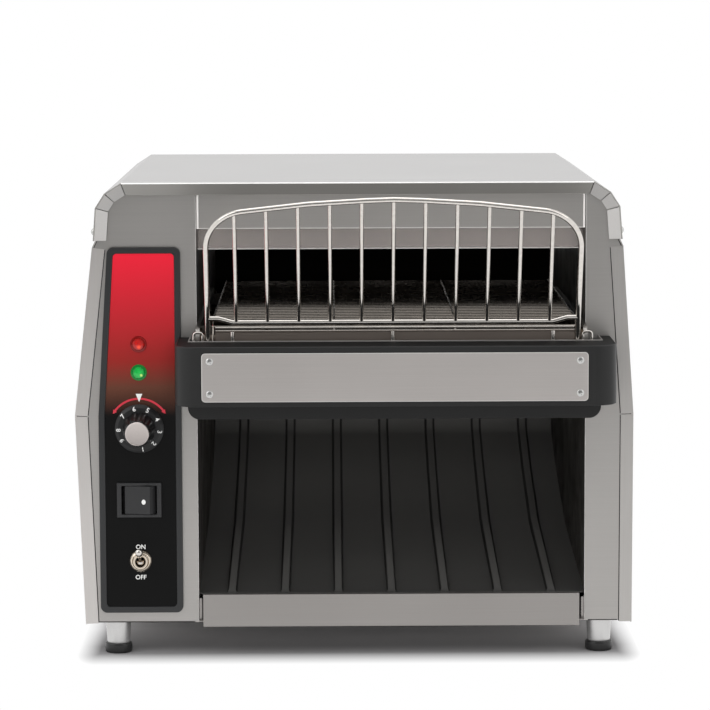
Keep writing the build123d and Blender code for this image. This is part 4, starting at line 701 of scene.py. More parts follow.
# ---- Finishes
STEEL = linear(174, 171, 168)
LABEL_BLACK = linear(15, 15, 15)
FINISHES: dict[str, Finish] = {finish.name: finish for finish in (       # by the record's material slots
    BrushedMetal("brushed_stainless", STEEL),
    StainedMetal("chamber_steel", linear(140, 136, 132), linear(88, 84, 80), 0.45),
    BrightMetal("belt_steel", linear(172, 165, 157), 0.24, 90.0),
    BrightMetal("bright_wire", linear(222, 217, 211), 0.1),
    BrightMetal("machined_steel", linear(168, 165, 161), 0.3),
    RibbedEnamel("black_enamel", linear(88, 87, 85)),
    Coating("black_steel", linear(31, 31, 31), 0.45, 1500.0, 0.2, 0.08, 0.3),
    BrushedMetal("bare_plate", linear(187, 182, 179), Grain.ALONG_X, 0.34, 0.05),
    StainedMetal("heater_sheath", linear(80, 73, 67), linear(44, 39, 35), 0.45, 80.0),
    Coating("bezel_plastic", linear(36, 37, 38), 0.32, 1300.0, 0.2, 0.08, 0.5),
    FadedPrint("label_film", ((0.00, LABEL_BLACK), (0.545, LABEL_BLACK), (0.625, linear(98, 58, 44)),
                              (0.70, linear(146, 36, 32)), (0.83, linear(184, 32, 42)),
                              (1.00, linear(226, 28, 52))), 37.4, 305.4),
    Coating("black_plastic", linear(26, 26, 27), 0.36, 1200.0, 0.2, 0.1, 0.4),
    Coating("switch_plastic", linear(44, 44, 45), 0.42, 900.0, 0.35, 0.1, 0.4),
    JewelLens("red_lens", linear(176, 14, 10), linear(255, 70, 30), tuple(Span.of("power_lamp").mid),
              (0.4, -2.0), 2.0),
    JewelLens("green_lens", linear(14, 168, 66), linear(206, 240, 120), tuple(Span.of("ready_lamp").mid),
              (2.0, -1.9), 1.3, glow=0.4),
    SpunMetal("cap_metal", linear(226, 217, 213), tuple(Span.of("knob_cap").mid), 0.36),
    BrightMetal("plated_nut", linear(220, 208, 192), 0.16),
    BrightMetal("zinc_screw", linear(206, 206, 204), 0.2),
    Coating("foot_rubber", linear(28, 28, 28), 0.3, 1500.0, 0.2),
    Coating("cast_case", linear(120, 122, 124), 0.5, 500.0, 0.5, 0.1, 0.6),
    Coating("motor_paint", linear(34, 36, 40), 0.35, 900.0, 0.2),
    BrightMetal("bush_bronze", linear(92, 80, 68), 0.3),
    Coating("board_laminate", linear(24, 84, 50), 0.4, 300.0, 0.1, 0.15),
)}
# lighter and darker copies of one steel for the two side panels, as painted light and painted shade
LEFT_LIT_STEEL = BrushedMetal("left_painted_light", linear(205, 201, 198), Grain.ALONG_Z)
RIGHT_SHADE_STEEL = BrushedMetal("right_painted_shade", linear(184, 181, 178), Grain.ALONG_Z)
COVER_STEEL = BrushedMetal("cover_stainless", linear(196, 194, 193), rough=0.24)
# darker and lighter copies of the cover's steel: painted shade on its front rim, painted light on the rim's corners
RIM_SHADE_STEEL = BrushedMetal("rim_painted_shade", linear(160, 158, 154), rough=0.32, metal=0.45)
CORNER_LIGHT_STEEL = BrushedMetal("corner_painted_light", linear(204, 202, 200), Grain.ALONG_Y, 0.32, metal=0.3)
TRAY_STEEL = BrushedMetal("tray_stainless", linear(155, 151, 148))
HOOD_STEEL = BrushedMetal("hood_stainless", linear(192, 184, 180), rough=0.22)
APRON_STEEL = BrushedMetal("apron_stainless", linear(118, 109, 102), contrast=0.08, metal=0.6)
# near-black for the bumper's upper face, a painted shade
RAIL_TOP_SHADE = Coating("rail_top_painted_shade", linear(12, 12, 12), 0.6, 1500.0, 0.2, 0.08, 0.2)
# bright rods around the plain plate's face, a painted highlight
PLATE_HIGHLIGHT = BrushedMetal("plate_painted_highlight", linear(208, 205, 202), rough=0.35, metal=0.3)
# near-white rods on the cover's bends, a painted highlight
FOLD_HIGHLIGHT = BrushedMetal("fold_painted_highlight", linear(252, 250, 248), rough=0.35, metal=0.0)
# near-white steel on softened folds and edge rods, a painted highlight
BEND_HIGHLIGHT = BrushedMetal("bend_painted_highlight", linear(242, 239, 236), metal=0.1)
SEAM_SHADE = Coating("seam_shade", linear(40, 38, 37), 0.6, 1500.0, 0.05)
# the rear panel's inner face, seen deep in the tunnel, is darkened with painted shade
REAR_STEEL = InnerShadeSteel("rear_stainless", STEEL, linear(24, 22, 20), Span.of("rear_panel").high.y - 0.4)
LEG_STEEL = BrushedMetal("leg_stainless", linear(208, 207, 206), Grain.ALONG_Z, 0.24)
NOSE_STEEL = StainedMetal("nose_steel", linear(122, 112, 104), linear(72, 65, 59), 0.36)
PRINT_WHITE = Coating("print_white", linear(240, 240, 238), 0.45, 1500.0, 0.05, 0.03)
PRINT_RED = Coating("print_red", linear(206, 30, 54), 0.42, 1500.0, 0.05, 0.05)
CHIP_BLACK = Coating("chip_black", linear(22, 22, 24), 0.35, 900.0, 0.2)


# ---- Sub-assemblies
@dataclass
class SubAssembly:
    """A group of pieces that are built and dressed together."""
    made: list[bpy.types.Object] = field(default_factory=list, init=False)

    def build(self) -> None:
        """Makes the meshes of the pieces."""
        raise NotImplementedError

    def dress(self) -> None:
        """Gives every piece that has no finish yet the finish of its slot, and reports it."""
        for piece in self.made:
            if not piece.data.materials:
                piece.data.materials.append(FINISHES[piece["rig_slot"]].material())
            LOG.info("%s: %s, %d faces, %s", type(self).__name__, piece.name, len(piece.data.polygons),
                     piece.data.materials[0].name)

    def keep(self, bm: BMesh, name: str, node: str, *finishes: Finish, slot: Optional[str] = None,
             stands_for: bool = True, soft: float = 38.0, weighted: bool = True) -> bpy.types.Object:
        """Turns a bmesh in millimetres into a piece that rides with a CAD node's body.

        Args:
            bm: The shape; it is freed.
            name: The piece's name.
            node: The CAD node whose body the piece rides on.
            finishes: Finishes other than the slot's own, in the order of the faces' numbers.
            slot: A material slot other than the node's own.
            stands_for: Whether the piece replaces the node.
            soft: Largest angle, in degrees, that is shaded smooth.
            weighted: Whether large faces keep flat shading beside their rounded edges.

        Returns:
            The new object.
        """
        bmesh.ops.scale(bm, vec=(MM, MM, MM), verts=bm.verts)
        mesh = bpy.data.meshes.new(name)
        bm.to_mesh(mesh)
        bm.free()
        mesh.polygons.foreach_set("use_smooth", [True] * len(mesh.polygons))
        mesh.set_sharp_from_angle(angle=radians(soft))
        piece = linked(name, mesh)
        if weighted:
            shading = piece.modifiers.new("even_shading", "WEIGHTED_NORMAL")
            shading.keep_sharp, shading.weight = True, 90
        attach(piece, frame["nodes"][node]["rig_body"])
        if stands_for:
            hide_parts(node)
        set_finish(piece, slot or slot_of(node))
        for finish in finishes:
            mesh.materials.append(finish.material())
        self.made.append(piece)
        return piece

    def trim(self, bm: BMesh, name: str, node: str, finish: Finish) -> None:
        """Keeps a thin piece that lies on a CAD node and replaces nothing."""
        self.keep(bm, name, node, finish, stands_for=False, weighted=False)

    def spun(self, name: str, node: str, profile: Outline, place: Matrix, steps: int) -> None:
        """Keeps a piece that is one turned shape."""
        bm = bmesh.new()
        turned(bm, profile, place, steps)
        self.keep(bm, name, node)

    def copy_of(self, node: str, edge: float = 0.0, sharp: float = 32.0, segments: int = 2,
                edge_slot: int = -1) -> BMesh:
        """A CAD node's mesh as a bmesh in millimetres, with whole faces and softened edges.

        Args:
            node: The CAD node.
            edge: Width of the softened edges, or 0 to leave them sharp.
            sharp: Smallest angle, in degrees, of an edge that is softened.
            segments: Steps across a softened edge.
            edge_slot: Number of the finish of the softened edges, or -1 for that of the faces beside them.

        Returns:
            The bmesh.
        """
        bm = bmesh.new()
        bm.from_mesh(frame["nodes"][node].data)
        bmesh.ops.scale(bm, vec=(1 / MM,) * 3, verts=bm.verts)
        bmesh.ops.remove_doubles(bm, verts=bm.verts, dist=0.001)
        bmesh.ops.dissolve_limit(bm, angle_limit=radians(0.6), use_dissolve_boundaries=False,
                                 verts=bm.verts, edges=bm.edges, delimit={"NORMAL"})
        if edge:
            bevel(bm, self.folds(bm, radians(sharp)), edge, segments, edge_slot)
        bm.normal_update()
        return bm

    @staticmethod
    def folds(bm: BMesh, angle: float) -> list[BMEdge]:
        """The edges between two faces that meet at more than an angle."""
        return [edge for edge in bm.edges if len(edge.link_faces) == 2 and edge.calc_face_angle(0.0) > angle]

    def bodies_of(self, node: str) -> list[Span]:
        """The boxes of a CAD node's separate bodies."""
        parts = self.copy_of(node)
        boxes = [Span.around(island) for island in islands(parts)]
        parts.free()
        return boxes

    def soften(self, node: str, name: str, edge: float, *finishes: Finish, sharp: float = 32.0,
               segments: int = 2) -> bpy.types.Object:
        """A piece with the shape of a CAD node and softened edges."""
        return self.keep(self.copy_of(node, edge, sharp, segments), name, node, *finishes)


@dataclass
class Cabinet(SubAssembly):
    """Folded cover, sides, panels and base, with their screws and feet."""
    fold: float = 0.4
    cover_fold: float = 0.6
    flat_half: float = 177.0
    bend_radius: float = 0.5
    bend_short: float = 1.0
    rim_height: float = 9.3
    rim_radius: float = 0.3
    rim_short: float = 4.5
    rim_ahead: float = 1.35
    seam_in: float = 0.25
    seam_radius: float = 0.4
    seam_ahead: float = 0.1
    seam_least: float = 3.0
    step_near: float = 0.5
    step_far: float = 1.6
    foot_seam_in: float = 10.0
    foot_seam_gap: float = 2.0
    screw: ScrewHead = ScrewHead(2.7, 2.4, 1.1)
    leg_ring: float = 0.6

    def build(self) -> None:
        """Sheets with softened folds, cross-head screws, legs and pads."""
        self.cover()
        for node, name, finish in (("left_side_panel", "left_side_sheet", LEFT_LIT_STEEL),
                                   ("right_side_panel", "right_side_sheet", RIGHT_SHADE_STEEL),
                                   ("front_fascia", "fascia_sheet", FINISHES["brushed_stainless"])):
            # the softened folds take the painted highlight
            self.keep(self.copy_of(node, self.fold, edge_slot=1), name, node, finish, BEND_HIGHLIGHT)
        self.soften("rear_panel", "rear_sheet", 0.0, REAR_STEEL)
        self.soften("base_pan", "base_sheet", self.fold)
        self.bends()
        self.seams()
        self.screws()
        self.feet()

    def cover(self) -> None:
        """The folded cover; its front rim takes a darker copy of its steel as painted shade, the rim's corners a
        lighter copy as painted light, and its softened folds the painted highlight.
        """
        bm = self.copy_of("top_cover", self.cover_fold, segments=3, edge_slot=3)
        middle, front = Span.of("top_cover").mid.x, Span.of("front_fascia").low.y
        # front-facing rim faces get the painted shade, and those beyond flat_half the painted light
        for face in bm.faces:
            at = face.calc_center_median()
            if face.material_index == 0 and face.normal.y < -0.3 and at.y < front:
                face.material_index = 2 if abs(at.x - middle) > self.flat_half else 1
        self.keep(bm, "cover_sheet", "top_cover", COVER_STEEL, RIM_SHADE_STEEL, CORNER_LIGHT_STEEL, BEND_HIGHLIGHT)

    def bends(self) -> None:
        """Rods of painted highlight along the cover's front bend and along the thin edge at the foot of its rim."""
        span, rim_y = Span.of("top_cover"), Span.of("front_fascia").low.y - self.rim_ahead
        bm = bmesh.new()
        for short, y, drop, radius in ((self.bend_short, span.low.y, self.bend_radius, self.bend_radius),
                                       (self.rim_short, rim_y, self.rim_height, self.rim_radius)):
            half, z = self.flat_half - short, span.high.z - drop
            rod(bm, (span.mid.x - half, y, z), (span.mid.x + half, y, z), radius, segments=12)
        self.trim(bm, "cover_highlight_rods", "top_cover", FOLD_HIGHLIGHT)

    def seams(self) -> None:
        """Dark lines of painted shadow in the steps between the front panel and the rims that lap over it."""
        panel = Span.of("front_fascia")
        bm = bmesh.new()
        for node in ("top_cover", "left_side_panel", "right_side_panel"):
            sheet = self.copy_of(node)
            for edge in sheet.edges:
                self.seam(bm, edge, panel)
            sheet.free()
        # dark lines of painted shadow along the panel's foot
        low = panel.low.z + self.seam_radius
        left, right = Span.of("left_tunnel_wall").low.x, Span.of("right_tunnel_wall").high.x
        for start, end in ((panel.low.x + self.foot_seam_in, left - self.foot_seam_gap),
                           (right + self.foot_seam_gap, panel.high.x - self.foot_seam_in)):
            rod(bm, (start, panel.low.y, low), (end, panel.low.y, low), self.seam_radius, segments=8)
        self.trim(bm, "seam_lines", "front_fascia", SEAM_SHADE)

    def seam(self, bm: BMesh, edge: BMEdge, panel: Span) -> None:
        """Adds a dark line of painted shadow beside an edge of a sheet, where the edge is the inner one of a lapping
        rim.

        Args:
            bm: The bmesh that gets the line.
            edge: The sheet's edge.
            panel: Box of the panel that the rim laps over.
        """
        a, b = (vert.co for vert in edge.verts)
        level = panel.low.y - self.step_far < min(a.y, b.y) and max(a.y, b.y) < panel.low.y - self.step_near
        if not level or abs(a.y - b.y) > 0.1 or (b - a).length < self.seam_least or len(edge.link_faces) != 2:
            return
        steep, side = sorted((face.normal for face in edge.link_faces), key=lambda normal: normal.y)
        if steep.y < -0.5 and side.dot(panel.mid - (a + b) / 2) > 0 and abs(side.y) < 0.75:
            step = Vector((side.x, 0, side.z)).normalized() * self.seam_in
            run = (b - a).normalized() * self.seam_radius
            ends = [Vector((at.x, panel.low.y - self.seam_ahead, at.z)) + step for at in (a + run, b - run)]
            rod(bm, *ends, self.seam_radius, segments=8)

    def screws(self) -> None:
        """Cross-head screws at the places of the CAD screws."""
        bm = bmesh.new()
        middle, rear = Span.of("top_cover").mid.x, Span.of("housing_screws").high.y
        for body in self.bodies_of("housing_screws"):
            if body.high.y > rear - 0.01:
                place = facing((0, 1, 0), (body.mid.x, body.low.y, body.mid.z))
            else:
                side = 1 if body.mid.x > middle else -1
                seat = body.high.x - self.screw.height if side > 0 else body.low.x + self.screw.height
                place = facing((side, 0, 0), (seat, body.mid.y, body.mid.z))
            self.screw.add(bm, place)
        self.keep(bm, "cross_head_screws", "housing_screws")

    def feet(self) -> None:
        """Turned legs that widen from a chamfered seat, and pads with a rounded rim and a hollow underside."""
        legs, pads = bmesh.new(), bmesh.new()
        leg, ring = Span.of("foot_legs"), self.leg_ring
        seat, top = leg.low.z, leg.high.z
        for body in self.bodies_of("foot_pads"):
            radius, up = body.size.x / 2, Matrix.Translation((body.mid.x, body.mid.y, 0))
            turned(legs, [(0, seat), (8.2, seat), (8.7, seat + ring), (8.8, seat + 2), (9.5, top - ring), (9.5, top),
                          (0, top)], up)
            turned(pads, [(0, 1.2), (radius - 4.5, 1.2), (radius - 3.6, 0.0), (radius - 1.4, 0.0),
                          (radius - 0.4, 0.4), (radius, 1.4), (radius, seat - 1.4), (radius - 0.4, seat - 0.4),
                          (radius - 1.4, seat), (0, seat)], up)
        self.keep(legs, "turned_legs", "foot_legs", LEG_STEEL)
        self.keep(pads, "rubber_pads", "foot_pads")


@dataclass
class Tunnel(SubAssembly):
    """Walls, hood, reflectors and heaters about the belt."""
    fold: float = 0.2
    tube_edge: float = 0.5
    hood_rise: float = 3.5
    hood_fold: float = 0.6
    hood_sharp: float = 0.6
    bend_radius: float = 0.9
    hood_lip: float = 0.22
    inner_lip: float = 0.42

    def build(self) -> None:
        """Sheets with softened folds, and smooth heater tubes."""
        for node, name in (("left_tunnel_wall", "left_wall_sheet"), ("right_tunnel_wall", "right_wall_sheet"),
                           ("upper_reflector", "roof_reflector"), ("lower_reflector", "pan_reflector")):
            self.soften(node, name, self.fold)
        self.hood()
        self.soften("hood_inner_plate", "hood_inner_sheet", self.fold, HOOD_STEEL)
        for row in ("upper", "lower"):
            self.soften(f"{row}_heaters", f"{row}_heater_tubes", self.tube_edge)

    def hood(self) -> None:
        """The hood's front plate, drawn up behind the top edge of the opening, and rods of painted highlight along
        its edges.
        """
        bm, span = self.copy_of("hood_front_plate"), Span.of("hood_front_plate")
        upper = [vert for vert in bm.verts if vert.co.z > span.high.z - 0.01]
        bmesh.ops.translate(bm, verts=upper, vec=(0, 0, self.hood_rise))
        bevel(bm, self.folds(bm, self.hood_sharp), self.hood_fold)
        self.keep(bm, "hood_front_sheet", "hood_front_plate")
        # rods of painted highlight along the hood's sides and along its plates' lower and upper edges
        bends, top = bmesh.new(), span.high.z + self.hood_rise
        for x in (span.low.x + self.bend_radius, span.high.x - self.bend_radius):
            rod(bends, (x, span.low.y, span.low.z), (x, span.low.y, top), self.bend_radius)
        inner = Span.of("hood_inner_plate")
        for plate, z, radius in ((span, span.low.z + self.hood_lip, self.hood_lip),
                                 (inner, inner.low.z + self.inner_lip, self.inner_lip),
                                 (span, top - self.hood_lip, self.hood_lip)):
            rod(bends, (plate.low.x, plate.low.y, z), (plate.high.x, plate.low.y, z), radius)
        self.trim(bends, "hood_highlight_rods", "hood_front_plate", BEND_HIGHLIGHT)


@dataclass
class Conveyor(SubAssembly):
    """Wire belt with its rails, shafts, discs and bushes."""
    wire_radius: float = 0.9
    link_radius: float = 0.5
    link_gap: float = 0.05
    link_lines: int = 4
    link_steps: int = 4
    wire_sides: int = 8
    link_sides: int = 5
    pitch: float = 12.0
    teeth: int = 8
    run_pitches: int = 25

    def build(self) -> None:
        """Belt of round wires and link loops, and the machined pieces about it."""
        self.belt()
        self.soften("conveyor_rails", "side_rails", 0.3)
        self.soften("conveyor_bushes", "flanged_bushes", 0.25)
        for node, name in (("drive_shaft", "drive_bar"), ("idler_shaft", "idler_bar"),
                           ("drive_discs", "drive_wheels"), ("idler_discs", "idler_wheels")):
            self.soften(node, name, 0.2, NOSE_STEEL)

    def stations(self) -> list[tuple[float, float]]:
        """(y, z) of every wire of the belt, once round."""
        radius = self.pitch / (2 * sin(pi / self.teeth))
        rear, front = Span.of("drive_shaft").mid, Span.of("idler_shaft").mid
        step = TURN / self.teeth
        arc = [(radius * sin(i * step), radius * cos(i * step)) for i in range(self.teeth // 2)]
        top = [(front.y + i * self.pitch, front.z + radius) for i in range(self.run_pitches)]
        low = [(rear.y - i * self.pitch, rear.z - radius) for i in range(self.run_pitches)]
        return top + [(rear.y + y, rear.z + z) for y, z in arc] + low + [(front.y - y, front.z - z) for y, z in arc]

    def belt(self) -> None:
        """Straight cross wires, and loops that hold each wire to the next."""
        line, span, bm = self.stations(), Span.of("conveyor_belt"), bmesh.new()
        for (y, z), (next_y, next_z) in zip(line, line[1:] + line[:1]):
            rod(bm, (span.low.x, y, z), (span.high.x, y, z), self.wire_radius, self.wire_sides)
            self.links(bm, Vector((0, y, z)), Vector((0, next_y, next_z)), span)
        self.keep(bm, "wire_belt", "conveyor_belt", weighted=False)

    def links(self, bm: BMesh, here: Vector, there: Vector, span: Span) -> None:
        """Adds the loops between one wire and the next.

        Args:
            bm: The belt's bmesh.
            here: Middle of the wire.
            there: Middle of the next wire.
            span: Box of the belt.
        """
        out = self.wire_radius + self.link_radius + self.link_gap
        along = (there - here).normalized()
        up = Vector((1, 0, 0)).cross(along)
        angles = [pi * i / (self.link_steps - 1) for i in range(self.link_steps)]
        loop = [centre + along * (cos(start + angle) * out) + up * (sin(start + angle) * out)
                for centre, start in ((here, pi / 2), (there, -pi / 2)) for angle in angles]
        width = 2 * self.link_radius
        for k in range(self.link_lines):
            x = span.low.x + width + (span.size.x - 2 * width) * k / (self.link_lines - 1)
            wire(bm, [point + Vector((x, 0, 0)) for point in loop], self.link_radius, self.link_sides, closed=True)


@dataclass
class Drive(SubAssembly):
    """Gear motor, its posts, shaft and coupling, and the speed board."""
    cover_thick: float = 1.2
    cover_in: float = 7.0
    screw_in: float = 5.0
    screw: ScrewHead = ScrewHead(2.4, 1.6, 0.9)
    band_drops: tuple[float, ...] = (6.0, 54.0)
    parts_face: float = 14.0
    capacitors: tuple[tuple[float, ...], ...] = ((12, 12, 4.0, 11.0), (24, 12, 3.2, 9.0), (66, 46, 5.0, 12.0))
    chips: tuple[tuple[float, ...], ...] = ((58, 8, 4, 0.3), (10, 42, 9, 0.4))
    chip_size: tuple[float, float] = (14.0, 12.0)

    def build(self) -> None:
        """Machined pieces, ribbed gear case, motor can and a board with its components."""
        for node, name, edge in (("shaft_coupling", "coupling_sleeve", 0.4), ("output_shaft", "output_bar", 0.3),
                                 ("motor_standoffs", "case_posts", 0.3), ("gearbox", "gear_case", 0.8),
                                 ("gear_motor", "motor_can", 1.0), ("speed_board", "board_plate", 0.1)):
            self.soften(node, name, edge)
        self.case_cover()
        self.motor_bands()
        self.components()

    def case_cover(self) -> None:
        """Raised cover with four screws on the gear case's outer face."""
        span, bm = Span.of("gearbox"), bmesh.new()
        x, mid, half = span.low.x, span.mid, span.size.z / 2 - self.cover_in
        box(bm, (x - self.cover_thick, mid.y - half, mid.z - half), (x + 0.2, mid.y + half, mid.z + half), 0.5)
        reach = half - self.screw_in
        for dy in (-reach, reach):
            for dz in (-reach, reach):
                self.screw.add(bm, facing((-1, 0, 0), (x - self.cover_thick, mid.y + dy, mid.z + dz)))
        self.keep(bm, "gear_case_cover", "gearbox", stands_for=False)

    def motor_bands(self) -> None:
        """Rolled seams round the motor can."""
        span, bm = Span.of("gear_motor"), bmesh.new()
        radius = span.size.x / 2
        for z in [span.high.z - drop for drop in self.band_drops]:
            turned(bm, [(radius - 0.4, z - 1.2), (radius + 0.5, z - 0.6), (radius + 0.5, z + 0.6),
                        (radius - 0.4, z + 1.2)], Matrix.Translation((span.mid.x, span.mid.y, 0)))
        self.keep(bm, "motor_seams", "gear_motor", stands_for=False)

    def components(self) -> None:
        """Capacitors, a chip and a plug socket on the speed board."""
        low, bm = Span.of("speed_board").low, bmesh.new()
        x = low.x + self.parts_face
        for dy, dz, radius, height in self.capacitors:
            turned(bm, [(0, 0), (radius, 0), (radius, 1), (radius - 0.4, 1.4), (radius, 1.8), (radius, height - 0.6),
                        (radius - 0.6, height), (0, height)], facing((-1, 0, 0), (x, low.y + dy, low.z + dz)), 24)
        for dy, dz, out, edge in self.chips:
            corner = Vector((x, low.y + dy + self.chip_size[0], low.z + dz + self.chip_size[1]))
            box(bm, (x - out, low.y + dy, low.z + dz), corner, edge)
        self.keep(bm, "board_components", "speed_board", CHIP_BLACK, stands_for=False)


@dataclass
class Electrics(SubAssembly):
    """Fan, terminals and cord inlet at the rear."""
    wells: int = 5
    well_depth: float = 4.9
    screw: ScrewHead = ScrewHead(2.7, 1.4, 0.7)

    def build(self) -> None:
        """Moulded pieces with softened edges, and screws in the terminal wells."""
        for node, name, edge in (("fan_frame", "fan_housing", 0.5), ("fan_rotor", "fan_wheel", 0.2),
                                 ("terminal_block", "terminal_strip", 0.4), ("cord_inlet", "cord_gland", 0.6)):
            self.soften(node, name, edge)
        span, bm = Span.of("terminal_block"), bmesh.new()
        for i in range(self.wells):
            y = span.low.y + span.size.y * (i + 0.5) / self.wells
            self.screw.add(bm, Matrix.Translation((span.mid.x, y, span.high.z - self.well_depth)))
        self.keep(bm, "terminal_screws", "terminal_block", slot="zinc_screw", stands_for=False)


@dataclass
class Discharge(SubAssembly):
    """Ribbed chute and the crumb drawer under it."""
    rib_round: float = 1.9
    wall_clear: float = 6.0

    def build(self) -> None:
        """Chute with its pressed ribs rounded into the sheet, and the folded drawer."""
        bm = self.copy_of("discharge_chute")
        bevel(bm, [edge for edge in bm.edges if self.runs_along_rib(edge)], self.rib_round, 4)
        self.keep(bm, "ribbed_chute", "discharge_chute", soft=50.0)
        self.soften("crumb_tray", "crumb_drawer_sheet", 0.25, TRAY_STEEL)

    def runs_along_rib(self, edge: BMEdge) -> bool:
        """Whether an edge lies between a flank of a rib and the face beside it."""
        if len(edge.link_faces) != 2 or abs(edge.verts[0].co.x - edge.verts[1].co.x) > 0.1:
            return False
        leans = sorted(abs(face.normal.x) for face in edge.link_faces)
        span = Span.of("discharge_chute")
        inside = span.low.x + self.wall_clear < edge.verts[0].co.x < span.high.x - self.wall_clear
        return inside and leans[0] < 0.1 and leans[1] > 0.9


@dataclass
class Shelf(SubAssembly):
    """Bumper, mounting plate, trough with its apron, and plain plate."""
    apron_gap: float = 2.1
    apron_drop: float = 8.3
    apron_in: float = 3.0
    apron_thick: float = 1.0
    apron_roll: float = 0.9
    apron_foot: float = 1.0
    wire_rises: tuple[float, ...] = (0.3, 2.7)
    wire_radius: float = 0.75
    rim_radius: float = 0.3
    screw: ScrewHead = ScrewHead(2.6, 1.15, 0.6)
    screw_turn: float = 0.5

    def build(self) -> None:
        """Shelf pieces, and round-headed screws on the plate."""
        self.rail()
        self.apron()
        self.plate_highlight_rim()
        for node, name, edge in (("shelf_mount_plate", "shelf_mount", 0.5), ("catch_tray", "trough_sheet", 0.2),
                                 ("front_badge", "plain_plate", 0.35)):
            self.soften(node, name, edge)
        bm = bmesh.new()
        for body in self.bodies_of("badge_screws"):
            self.screw.add(bm, body.ahead(body.high.y) @ Matrix.Rotation(self.screw_turn, 4, "Z"))
        self.keep(bm, "plate_screws", "badge_screws")
        self.soften("guard_seats", "guard_pegs", 0.3)

    def rail(self) -> None:
        """The bumper, whose upper face takes a near-black painted shade."""
        bm = self.copy_of("bumper", 0.4, sharp=50)
        for face in bm.faces:
            # upward faces take the painted shade
            face.material_index = int(face.normal.z > 0.9)
        self.keep(bm, "shelf_rail", "bumper", FINISHES["black_steel"], RAIL_TOP_SHADE)

    def apron(self) -> None:
        """Upright sheet in the trough, ahead of the belt's nose, with a rolled top edge and two wires."""
        belt, tray = Span.of("conveyor_belt"), Span.of("catch_tray")
        left, right = belt.low.x + self.apron_in, belt.high.x - self.apron_in
        y, top = belt.low.y - self.apron_gap, belt.high.z - self.apron_drop
        sheet, wires = bmesh.new(), bmesh.new()
        box(sheet, (left, y - self.apron_thick, tray.low.z + self.apron_foot), (right, y, top), 0.2)
        for bm, rise, radius in ((sheet, 0.0, self.apron_roll),
                                 *((wires, rise, self.wire_radius) for rise in self.wire_rises)):
            rod(bm, (left, y - self.apron_roll, top + rise), (right, y - self.apron_roll, top + rise), radius)
        self.keep(sheet, "nose_apron", "catch_tray", APRON_STEEL, stands_for=False)
        self.keep(wires, "nose_wires", "catch_tray", FINISHES["bright_wire"], stands_for=False)

    def plate_highlight_rim(self) -> None:
        """Painted highlight as a bright edge around the plain plate's face."""
        front, bm = Span.of("front_badge").low.y, bmesh.new()
        sheet = self.copy_of("front_badge")
        for edge in sheet.edges:
            a, b = (vert.co.copy() for vert in edge.verts)
            if max(a.y, b.y) < front + 0.05 and edge.calc_face_angle(0.0) > 1.0:
                a.y = b.y = front + self.rim_radius
                rod(bm, a, b, self.rim_radius, segments=8)
        sheet.free()
        self.trim(bm, "plate_highlight_rim", "front_badge", PLATE_HIGHLIGHT)


